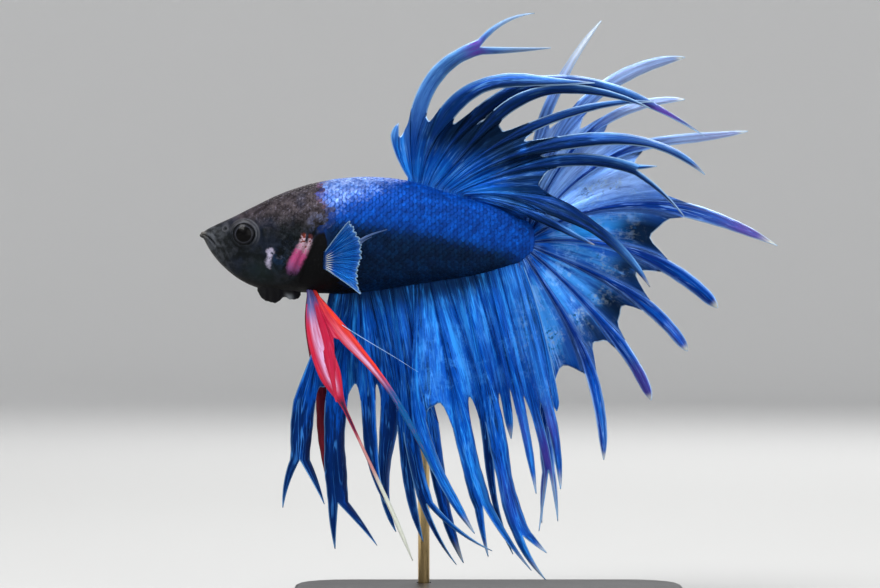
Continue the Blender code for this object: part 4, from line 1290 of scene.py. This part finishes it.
CAUDAL = (
    Ray(0.00, 32.0, (80, 73, 62, 50), 0.46, 1.8, 1.6),
    Ray(0.11, 36.8, (73, 60, 33, 6), 0.52, 2.2, 3.4),
    Ray(0.22, 32.0, (64, 55, 26, -2), 0.60, 1.5, 0.6),
    Ray(0.33, 37.6, (55, 35, 8, 8), 0.56, 1.7, 2.8),
    Ray(0.44, 38.8, (33, 7, -16, -28), 0.61, 2.4, 0.0),
    Ray(0.54, 30.8, (6, -10, -29, -48), 0.66, 2.2, 2.4),
    Ray(0.63, 28.6, (-22, -25, -39, -57), 0.67, 2.0, 0.2),
    Ray(0.72, 29.2, (-39, -46, -53, -70), 0.66, 2.0, 2.6),
    Ray(0.83, 33.2, (-56, -60, -76, -90), 0.59, 1.9, 0.6),
    Ray(1.00, 39.6, (-77, -82, -84, -88), 0.55, 2.2, 3.0, Fork(0.80, -14, 6, 0, 7.0)),
)
CAUDAL_TWISTS = (18, -22, 20, -18, 24, -20, 22, -24, 20, -22)
CAUDAL_TAPERS = (2.2, 5.0, 5.0, 3.4, 2.2, 9.0, 9.0, 8.0, 4.0, 2.4)
# Rays leave the stalk's end along half an oval, from CAUDAL_ROOT_TOP degrees above its axis.
CAUDAL_ROOT_TOP = 66.0
CAUDAL_ROOT_SIZE = (4.2, 4.7)
CAUDAL_ROOT_AT = 46.6
# The marks of each ray and the film beside it, from the first ray to the last.
CAUDAL_VEIL = (
    (0, 0.95), (1, 0.95), (2, 0.9), (3, 0.95), (3.6, 0.9), (4.4, 0.1), (5.5, 0.14), (7, 0.16), (9, 0.1),
)
CAUDAL_LACE = (
    (0, 0.1), (2, 0.35), (3, 0.7), (3.5, 0.9), (4.3, 0.5), (5.5, 0.7), (6.5, 0.9), (8, 0.9), (9, 0.6),
)
# Dark film by the lower scalloped edge, partly the fin's own and partly painted shade.
CAUDAL_INK_AND_SHADE = (
    (0, 0.0), (3.8, 0.0), (4.4, 1.0), (5.5, 1.0), (6.6, 1.0), (7.4, 0.9), (8.2, 0.4), (9, 0.1),
)
CAUDAL_FROST = (
    (0, 0.3), (3.6, 0.5), (4.4, 0.4), (5.4, 0.6), (6.5, 0.9), (7.5, 0.9), (8.5, 0.7), (9, 0.4),
)
CAUDAL_VIOLET = {1: 0.1, 2: 0.1, 3: 0.4, 4: 0.8, 6: 0.1, 7: 0.65, 8: 0.1, 9: 0.4}


def caudal_roots(rays):
    """Where rays leave the rounded end of the tail stalk."""
    found = []
    for ray in rays:
        angle = math.radians(CAUDAL_ROOT_TOP * (1 - 2 * ray.root))
        x = SNOUT_X + CAUDAL_ROOT_AT + CAUDAL_ROOT_SIZE[0] * math.cos(angle)
        found.append((x, 0.0, AXIS_Z + CAUDAL_ROOT_SIZE[1] * math.sin(angle)))
    return found


def of_nearest(values, ray, rays):
    """Each point's value by the ray that it lies on or next to, and 0 for rays without one."""
    listed = np.array([values.get(k, 0.0) for k in range(len(rays))])
    return listed[np.clip(np.round(ray), 0, len(rays) - 1).astype(int)]


def caudal_paint(ray, share, web, free, side, **others):
    """Pale and flecked between the upper rays, and dark by the lower scalloped edge, partly
    painted shade. Painted shade darkens the root by the stalk, and painted light lies along one
    side of each free spike.
    """
    to_edge, by_rim = way_to_edge(ray, share, CAUDAL), np.abs(side)
    upper = 1 - ease(ray, 3.4, 4.2)
    joined = (web == 0) * (1 - free)
    on_ray = joined * (1 - ease(by_rim, 0.4, 0.95))
    pale_ray = np.maximum(ease(by_rim, 0.35, 0.85), 0.75 * (1 - ease(ray, 1.3, 1.7)))
    pale_ray = upper * joined * pale_ray
    lower_edge = (1 - upper) * ease(by_rim, 0.5, 1.0)
    return {
        # Painted light on one side of the free spikes, and painted shade at the root by the stalk.
        "tone": 0.3 * upper * web - 0.25 * ease(to_edge, 0.5, 1.0) * (1 - upper)
        + 0.4 * side * free + 0.3 * (1 - upper) * free * (1 - ease(share, 0.85, 1.0))
        + 0.7 * web * hump(to_edge - 0.38, 0.35) * (1 - upper) - 0.4 * on_ray
        - 0.5 * (1 - ease(to_edge, 0.02, 0.2)),
        "veil": np.clip(smooth(CAUDAL_VEIL, ray) * (web + 0.75 * upper * free + pale_ray), 0, 1)
        * (1 - (1 - upper) * ease(to_edge, 0.65, 0.95)) * ease(to_edge, 0.02, 0.25)
        + 0.85 * free * lower_edge + 0.35 * joined * lower_edge,
        "lace": smooth(CAUDAL_LACE, ray) * web * hump(to_edge - 0.54, 0.22),
        "frost": smooth(CAUDAL_FROST, ray) * web * hump(to_edge - 0.38, 0.3),
        "ink_and_shade": smooth(CAUDAL_INK_AND_SHADE, ray) * web ** 0.5 * ease(to_edge, 0.48, 0.72),
        "tip": of_nearest(CAUDAL_VIOLET, ray, CAUDAL) * ease(share, 0.72, 0.86),
        "cream": 0.85 * ease(share, 0.95, 0.99) + 0.65 * hump(ray, 0.4) * ease(share, 0.5, 0.85)
        + 0.6 * hump(ray - 4, 0.4) * ease(share, 0.9, 0.97)
        + 0.28 * upper * free * ease(ray, 0.3, 0.8) * ease(share, 0.45, 0.75)
        + 0.16 * upper * web * hump(to_edge - 0.7, 0.3),
    }


blue_tail = fin_finish(
    "tail_blue", Deep=(0.0006, 0.018, 0.13), Royal=(0.0015, 0.068, 0.4), Light=(0.02, 0.25, 0.76),
    Veil=(0.22, 0.45, 1.0), Tip=(0.09, 0.04, 0.3), Rim=(0.45, 0.62, 0.85), Rib=(0.003, 0.025, 0.24),
    Frost=(0.15, 0.41, 0.9), Contrast=2.0, Fineness=0.35, Rib_Share=0.6,
)
caudal = two_sided(
    "tail_fin_rays", fin_sheet(CAUDAL, caudal_roots(CAUDAL), CAUDAL_TWISTS, taper=CAUDAL_TAPERS),
    caudal_paint, blue_tail,
)
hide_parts("caudal_fin")


# ---------------------------------------------------------------- anal fin
# The long fin below the body: fifteen close rays in a finely pleated sheet, which hang on as
# broad dark ribbons at the front and thin pale-tipped ones towards the tail.

ANAL = (
    Ray(19.3, 32.9, (-102, -105, -93, -94), 0.50, 3.4, 1.4, Fork(0.77, -22, 30, 22, 7.4)),
    Ray(22.6, 38.8, (-98, -98, -87, -84), 0.42, 3.4, 3.0, Fork(0.82, -6, 36, 30, 8.4)),
    Ray(24.0, 32.2, (-87, -85, -86, -66), 0.50, 2.3, 0.8),
    Ray(25.6, 37.0, (-76, -82, -97, -64), 0.47, 2.8, 3.4),
    Ray(27.2, 38.6, (-75, -82, -85, -70), 0.53, 2.0, 1.0),
    Ray(28.9, 43.2, (-80, -84, -76, -52), 0.50, 2.2, -1.4, Fork(0.76, 0, 20, 46, 12.0)),
    Ray(30.7, 43.0, (-76, -80, -81, -66), 0.49, 2.4, 2.8),
    Ray(32.6, 39.4, (-91, -90, -66, -56), 0.53, 2.2, -3.4),
    Ray(34.8, 46.8, (-77, -78, -74, -50), 0.47, 2.9, 0.6, Fork(0.74, 8, -12, -6, 7.6)),
    Ray(37.2, 43.0, (-72, -75, -84, -64), 0.50, 1.5, 3.0),
    Ray(39.5, 47.6, (-77, -77, -78, -47), 0.46, 2.8, -0.6, Fork(0.84, -4, 18, 22, 4.2)),
    Ray(41.6, 25.2, (-74, -75, -79, -84), 0.84, 1.4, 2.2),
    Ray(43.4, 34.0, (-76, -76, -78, -82), 0.64, 1.5, -1.8),
    Ray(45.2, 40.6, (-75, -76, -77, -98), 0.62, 1.4, 1.4, Fork(0.77, -14, 2, -2, 7.9)),
    Ray(47.5, 34.4, (-76, -77, -77, -88), 0.72, 1.6, -2.4),
    Ray(48.6, 23.0, (-68, -75, -79, -84), 0.94, 1.0, -2.0),
)
ANAL_TWISTS = (20, 24, -20, 28, -24, -26, 22, 30, 26, -22, 24, -14, 16, -14, 18, 8)
ANAL_TAPERS = (1.8, 1.8, 2.6, 2.4, 2.8, 1.8, 3.2, 2.8, 1.8, 2.2, 1.8, 1.8, 2.0, 1.8, 2.0, 1.8)
ANAL_SHADE = (  # of each ray's free ribbon, below 0 darker
    -0.75, -0.8, -0.4, -0.85, -0.65, -0.3, -0.5, 0.3, 0.1, -0.8, 0.05, 0.1, 0.1, 0.1, 0.0, 0.0
)
ANAL_VIOLET = {10: 0.15, 12: 0.3, 13: 0.8, 14: 0.4}  # of some rays, above the tip
def anal_paint(ray, share, web, free, side, **others):
    """Dark in front and at the root, paler and flecked towards the tail."""
    to_edge = way_to_edge(ray, share, ANAL)
    shade = np.interp(ray, np.arange(len(ANAL)), ANAL_SHADE)
    front = 1 - ease(ray, 2.5, 6.5)
    joined = 1 - free
    return {
        # Painted light along one side of each free ribbon.
        "tone": shade * free - 0.1 * front + 0.3 * side * free + 0.2 * joined * web,
        "veil": 0.22 * web * hump(to_edge - 0.5, 0.4) * (1 - front)
        + 0.25 * hump(ray - 14, 1.0) * joined
        + 0.4 * free * ease(np.abs(side), 0.5, 1.0) * ease(ray, 1.5, 3.0),
        "lace": 0.35 * ease(ray, 12.0, 14.0) * joined * hump(to_edge - 0.5, 0.3),
        "frost": 0.3 * ease(ray, 4.0, 9.0) * joined * hump(to_edge - 0.55, 0.4),
        "ink_and_shade": np.clip(
            0.6 * front * hump(to_edge - 0.8, 0.25) * web
            + 0.9 * hump(share, 0.07) * (1 - ease(ray, 11, 14)), 0, 1
        ),
        "tip": of_nearest(ANAL_VIOLET, ray, ANAL) * hump(share - 0.72, 0.1),
        "cream": 0.8 * ease(share, 0.9, 1.0) * ease(ray, 4.5, 5.5) * (ray < 14.4)
        + 0.4 * hump(ray - 13, 0.45) * ease(share, 0.76, 0.85),
    }


blue_anal = fin_finish(
    "anal_blue", Deep=(0.0006, 0.016, 0.1), Royal=(0.001, 0.068, 0.42), Light=(0.02, 0.26, 0.8),
    Veil=(0.05, 0.27, 0.78), Tip=(0.08, 0.03, 0.28), Rim=(0.14, 0.34, 0.64), Rib=(0.001, 0.026, 0.18),
    Frost=(0.06, 0.32, 0.85), Contrast=2.9, Fineness=0.5, Rib_Share=0.4,
)
anal = two_sided(
    "anal_fin_rays",
    fin_sheet(
        ANAL, line_roots(ANAL, "belly", -ROOT_RISE), ANAL_TWISTS, turn=-1, taper=ANAL_TAPERS, pleat=0.3
    ),
    anal_paint, blue_anal,
)
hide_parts("anal_fin")


# ---------------------------------------------------------------- pectoral fins
# The side fins, small fans on a short upright root behind each gill cover. Their film is clear
# blue with pale edges, and the rays' roots show cream where they leave the body.

PECTORAL_RAYS = 12
PECTORAL_ROOT = (19.1, -3.3)  # behind the snout, and height
PECTORAL_ROOT_HEIGHT = 2.4
PECTORAL_LENGTHS = (  # (share of the fan from its top, length)
    (0.0, 5.9), (0.15, 5.8), (0.33, 5.85), (0.5, 5.6), (0.65, 5.2), (0.8, 5.1), (0.9, 5.6), (1.0, 6.6),
)
PECTORAL_FAN = (53.0, -34.0)  # headings of the first and the last ray
PECTORAL_FLARE = 0.5  # how far the rays stand out, for each part of their length


def pectoral_paint(ray, share, web, rib, **others):
    """Pale by the outer edge, with cream roots to the rays."""
    roots = ease(share, 0.0, 0.08) * (1 - ease(share, 0.1, 0.28)) * rib
    return {
        "tone": 0.1 + 0.2 * (1 - web) * ease(share, 0.4, 0.9) + 0.3 * hump(share - 0.55, 0.25),
        "veil": 0.25 * ease(share, 0.8, 1.0),
        "cream": np.clip(roots * ease(ray, 1.5, 3.5) * (1 - web), 0, 0.9),
    }


def make_pectoral(side, sign, material):
    flank = float(body_line("half_width", PECTORAL_ROOT[0])) + 0.25
    rays, roots = [], []
    for k in range(PECTORAL_RAYS):
        u = k / (PECTORAL_RAYS - 1)
        start = PECTORAL_FAN[0] + (PECTORAL_FAN[1] - PECTORAL_FAN[0]) * u
        length = float(smooth(PECTORAL_LENGTHS, u)) + 0.06 * math.sin(k * 2.3)
        stand = sign * PECTORAL_FLARE * length * math.cos(math.radians(start))
        rays.append(Ray(0, length, (start, start, start - 2, start - 8), 0.985, 0.3, stand))
        up = PECTORAL_ROOT[1] + PECTORAL_ROOT_HEIGHT * (0.5 - u)
        roots.append((SNOUT_X + PECTORAL_ROOT[0] - 0.2, sign * flank, AXIS_Z + up))
    sheet = fin_sheet(
        rays, roots, [6] * PECTORAL_RAYS, notch=0.015, pleat=0.06, ripple=0.02,
        sunk=(-0.3, -0.9 * sign, 0.0),
    )
    fin = two_sided(f"pectoral_fan_{side}", sheet, pectoral_paint, material)
    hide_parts(f"pectoral_fin_{side}")


blue_pectoral = fin_finish(
    "pectoral_blue", Deep=(0.0006, 0.02, 0.11), Royal=(0.001, 0.05, 0.28), Light=(0.009, 0.14, 0.5),
    Veil=(0.12, 0.26, 0.5), Tip=(0.1, 0.05, 0.36), Rim=(0.2, 0.32, 0.44), Rib=(0.004, 0.06, 0.26),
    Frost=(0.1, 0.2, 0.5), Contrast=1.3, Fineness=0.3, Rib_Share=0.3,
)
make_pectoral("left", -1, blue_pectoral)
make_pectoral("right", 1, blue_pectoral)


# ---------------------------------------------------------------- pelvic fins
# The two long narrow belly fins. Each is a leaf of film on three rays, crimson on the left and a
# dark crimson on the right. The left one's front ray runs on as a thread, dark and then cream.

NEAR_PELVIC = (
    Ray(16.3, 43.0, (-82, -67, -65, -68), 0.24, 3.0, -3.0),
    Ray(16.9, 16.4, (-70, -76, -80, -82), 0.60, 1.5, -1.6),
    Ray(17.6, 32.0, (-60, -48, -60, -64), 0.22, 1.9, -3.6),
)
FAR_PELVIC = (
    Ray(16.0, 30.0, (-90, -79, -83, -87), 0.30, 1.6, 3.4),
    Ray(16.7, 15.0, (-82, -82, -80, -80), 0.56, 1.3, 2.0),
    Ray(17.5, 15.0, (-68, -72, -76, -78), 0.48, 1.3, 3.4),
)
PELVIC_SIDE = 1.9
# A ray's own width along it, as (share of its length, width).
FRONT_WIDTHS = (
    (0.0, 0.6), (0.06, 1.9), (0.13, 2.9), (0.24, 3.4), (0.3, 3.1), (0.35, 1.9), (0.4, 0.8),
    (0.47, 0.5), (0.62, 0.48), (0.72, 0.56), (0.82, 0.66), (0.92, 0.5), (1.0, 0.1),
)
MIDDLE_WIDTHS = ((0.0, 0.5), (0.3, 1.3), (0.6, 1.6), (0.85, 0.9), (1.0, 0.15))
REAR_WIDTHS = (
    (0.0, 0.5), (0.1, 1.6), (0.22, 2.1), (0.34, 1.6), (0.46, 1.1), (0.62, 1.0), (0.85, 0.65),
    (1.0, 0.12),
)
FAR_WIDTHS = (
    (0.0, 0.5), (0.1, 1.3), (0.3, 1.6), (0.45, 1.7), (0.6, 2.7), (0.84, 2.9), (0.95, 1.5),
    (1.0, 0.2),
)


def far_pelvic_paint(share, web, rib, **others):
    """Dark crimson all over, with the film a little darker than its rays."""
    return {"tone": 0.2 * rib - 0.25 * web - 0.2 * ease(share, 0.8, 1.0)}


def pelvic_paint(ray, share, web, side, to_rim, **others):
    """Crimson, with a pale core in the outer rays, whose threads turn cream or blue."""
    front, rear = hump(ray, 0.45), hump(ray - 2, 0.45)
    core = (1 - ease(np.abs(side + 0.25 * rear), 0.2, 0.62)) * (1 - web)
    pale = front * (1 - ease(share, 0.31, 0.37)) + 0.85 * rear * hump(share - 0.4, 0.17)
    return {
        # A little painted light along one side of each ray.
        "tone": 0.5 * rear - 0.25 * web + 0.15 * side,
        "veil": np.clip(core * pale, 0, 1),
        "ink_and_shade": 1.7 * front * ease(share, 0.36, 0.42) * (1 - ease(share, 0.46, 0.55)),
        "tip": 2.0 * rear * ease(share, 0.42, 0.72)
        + 0.9 * (1 - ease(share, 0.02, 0.12)) * (ray < 1.6),
        "cream": np.clip(
            front * (0.35 * ease(share, 0.5, 0.56) + 0.65 * ease(share, 0.64, 0.72)), 0, 1
        ),
        "to_rim": to_rim + 0.3 * front * ease(share, 0.5, 0.6) + 0.3 * rear * ease(share, 0.36, 0.46),
    }


crimson = fin_finish(
    "pelvic_crimson", shine=0.1, Deep=(0.12, 0.003, 0.02), Royal=(0.42, 0.009, 0.045),
    Light=(0.72, 0.045, 0.02), Veil=(0.62, 0.45, 0.72), Tip=(0.003, 0.085, 0.28), Rim=(0.5, 0.03, 0.07),
    Rib=(0.36, 0.01, 0.04), Frost=(0.6, 0.4, 0.6), Contrast=1.6, Fineness=0.35, Rib_Share=0.4,
)
dark_crimson = fin_finish(
    "pelvic_dark_crimson", shine=0.1, Deep=(0.04, 0.002, 0.008), Royal=(0.14, 0.005, 0.016),
    Light=(0.26, 0.016, 0.03), Veil=(0.22, 0.08, 0.12), Tip=(0.004, 0.06, 0.22), Rim=(0.14, 0.02, 0.03),
    Rib=(0.09, 0.005, 0.014), Frost=(0.2, 0.05, 0.08), Contrast=1.6, Fineness=0.35, Rib_Share=0.4,
)
for side, rays, out, front_widths, paint, material in (
    ("left", NEAR_PELVIC, -PELVIC_SIDE, FRONT_WIDTHS, pelvic_paint, crimson),
    ("right", FAR_PELVIC, PELVIC_SIDE, FAR_WIDTHS, far_pelvic_paint, dark_crimson),
):
    sheet = fin_sheet(
        rays, line_roots(rays, "belly", -ROOT_RISE, out), (14, 8, -14), turn=-1, pleat=0.1,
        ripple=0.1, widths=(front_widths, MIDDLE_WIDTHS, REAR_WIDTHS),
    )
    pelvic = two_sided(f"pelvic_leaf_{side}", sheet, paint, material)
    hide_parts(f"pelvic_fin_{side}")


# ---------------------------------------------------------------- loose threads
# Hair-thin ends of fin ray: one that has come away from the left belly fin and crosses in front
# of the film behind it, and three flat smoky wisps that trail from the left side fin.

THREAD_SIDES, THREAD_RINGS = 10, 50
THREAD_BLUE = ((0.1, 0.28, 0.6), (0.4, 0.58, 0.8))
SMOKE = ((0.01, 0.04, 0.13), (0.045, 0.09, 0.22))
BELLY_THREAD = (
    (21.3, -2.8, -13.1), (23.2, -3.6, -14.3), (26.2, -4.3, -16.1), (29.4, -4.8, -18.0),
    (32.9, -5.2, -20.2),
)
WISP = ((23.2, -7.4, -1.2), (24.4, -7.3, -0.2), (26.0, -7.0, 0.6), (28.2, -6.5, 1.3))
LOW_WISP = ((23.5, -7.4, -2.6), (23.8, -7.4, -1.4), (24.7, -7.2, -0.4), (25.9, -6.9, 0.2))
HIGH_WISP = ((22.6, -7.3, 2.0), (23.2, -7.4, 0.9), (23.6, -7.4, -0.5), (23.8, -7.3, -2.2))


def make_thread(name, route, radius, colours, flat=1.0):
    """A tapered tube, round or flat, along a smooth route of (behind the snout, side, height)
    points."""
    shares = np.linspace(0, len(route) - 1, THREAD_RINGS)
    path = np.stack([smooth(list(enumerate(values)), shares) for values in zip(*route)], -1)
    path += (SNOUT_X, 0.0, AXIS_Z)
    along = np.gradient(path, axis=0)
    along /= np.linalg.norm(along, axis=1, keepdims=True)
    first = np.cross(along, (0, 1, 0))
    first /= np.linalg.norm(first, axis=1, keepdims=True)
    second = np.cross(along, first)
    turn = np.linspace(0, 2 * math.pi, THREAD_SIDES, endpoint=False)
    size = radius * (1 - 0.75 * np.linspace(0, 1, THREAD_RINGS) ** 1.5)
    rings = path[:, None] + size[:, None, None] * (
        np.cos(turn)[None, :, None] * first[:, None]
        + flat * np.sin(turn)[None, :, None] * second[:, None]
    )
    thread = mesh_of(name, rings, tube_faces(THREAD_RINGS, THREAD_SIDES, turned=True))
    material, tree, shader = finish_of(f"{name}_film", Roughness=0.4, Specular_IOR_Level=0.3)
    feed(tree, shader, Base_Color=mixed(tree, noise(tree, 700.0, 2.0), *colours))
    thread.data.materials.append(material)


make_thread("belly_fin_thread", BELLY_THREAD, 0.06, THREAD_BLUE)
make_thread("side_fin_wisp", WISP, 0.24, SMOKE, flat=0.25)
make_thread("side_fin_wisp_low", LOW_WISP, 0.2, SMOKE, flat=0.25)
make_thread("side_fin_wisp_high", HIGH_WISP, 0.2, SMOKE, flat=0.25)


# ---------------------------------------------------------------- stand
# A satin black plate of moulded plastic with a softened edge, and a brushed brass rod that
# slants up from it, behind the fins, into a socket in the far flank.
PLATE_BLACK = ((0.012, 0.012, 0.014), (0.026, 0.026, 0.028))
BRASS = ((0.5, 0.34, 0.13), (0.78, 0.58, 0.3))


def plate_finish():
    """Satin black plastic with a fine grain and faint wear."""
    plate, tree, shader = finish_of("stand_black", Specular_IOR_Level=0.2)
    wear = noise(tree, 70.0, 4.0)
    gloss = plus(tree, times(tree, wear, 0.2), 0.28)
    feed(tree, shader, Base_Color=mixed(tree, wear, *PLATE_BLACK), Roughness=gloss)
    raise_by(tree, shader, noise(tree, 2600.0, 2.0), 0.03)
    return plate


def brass_finish():
    """Brass with fine lines drawn along the rod."""
    brass, tree, shader = finish_of("stand_brass", Metallic=1.0)
    place = node(tree, "TexCoord").outputs["Object"]
    drawn = node(tree, "Mapping", Vector=place, Scale=(1.0, 1.0, 0.04)).outputs["Vector"]
    lines = noise(tree, 6000.0, 3.0, drawn)
    gloss = plus(tree, times(tree, lines, 0.25), 0.2)
    feed(tree, shader, Base_Color=mixed(tree, lines, *BRASS), Roughness=gloss)
    raise_by(tree, shader, lines, 0.02)
    return brass


for solid, finish in (("stand_base", plate_finish()), ("stand_rod", brass_finish())):
    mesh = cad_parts[solid].data
    mesh.materials.clear()
    mesh.materials.append(finish)
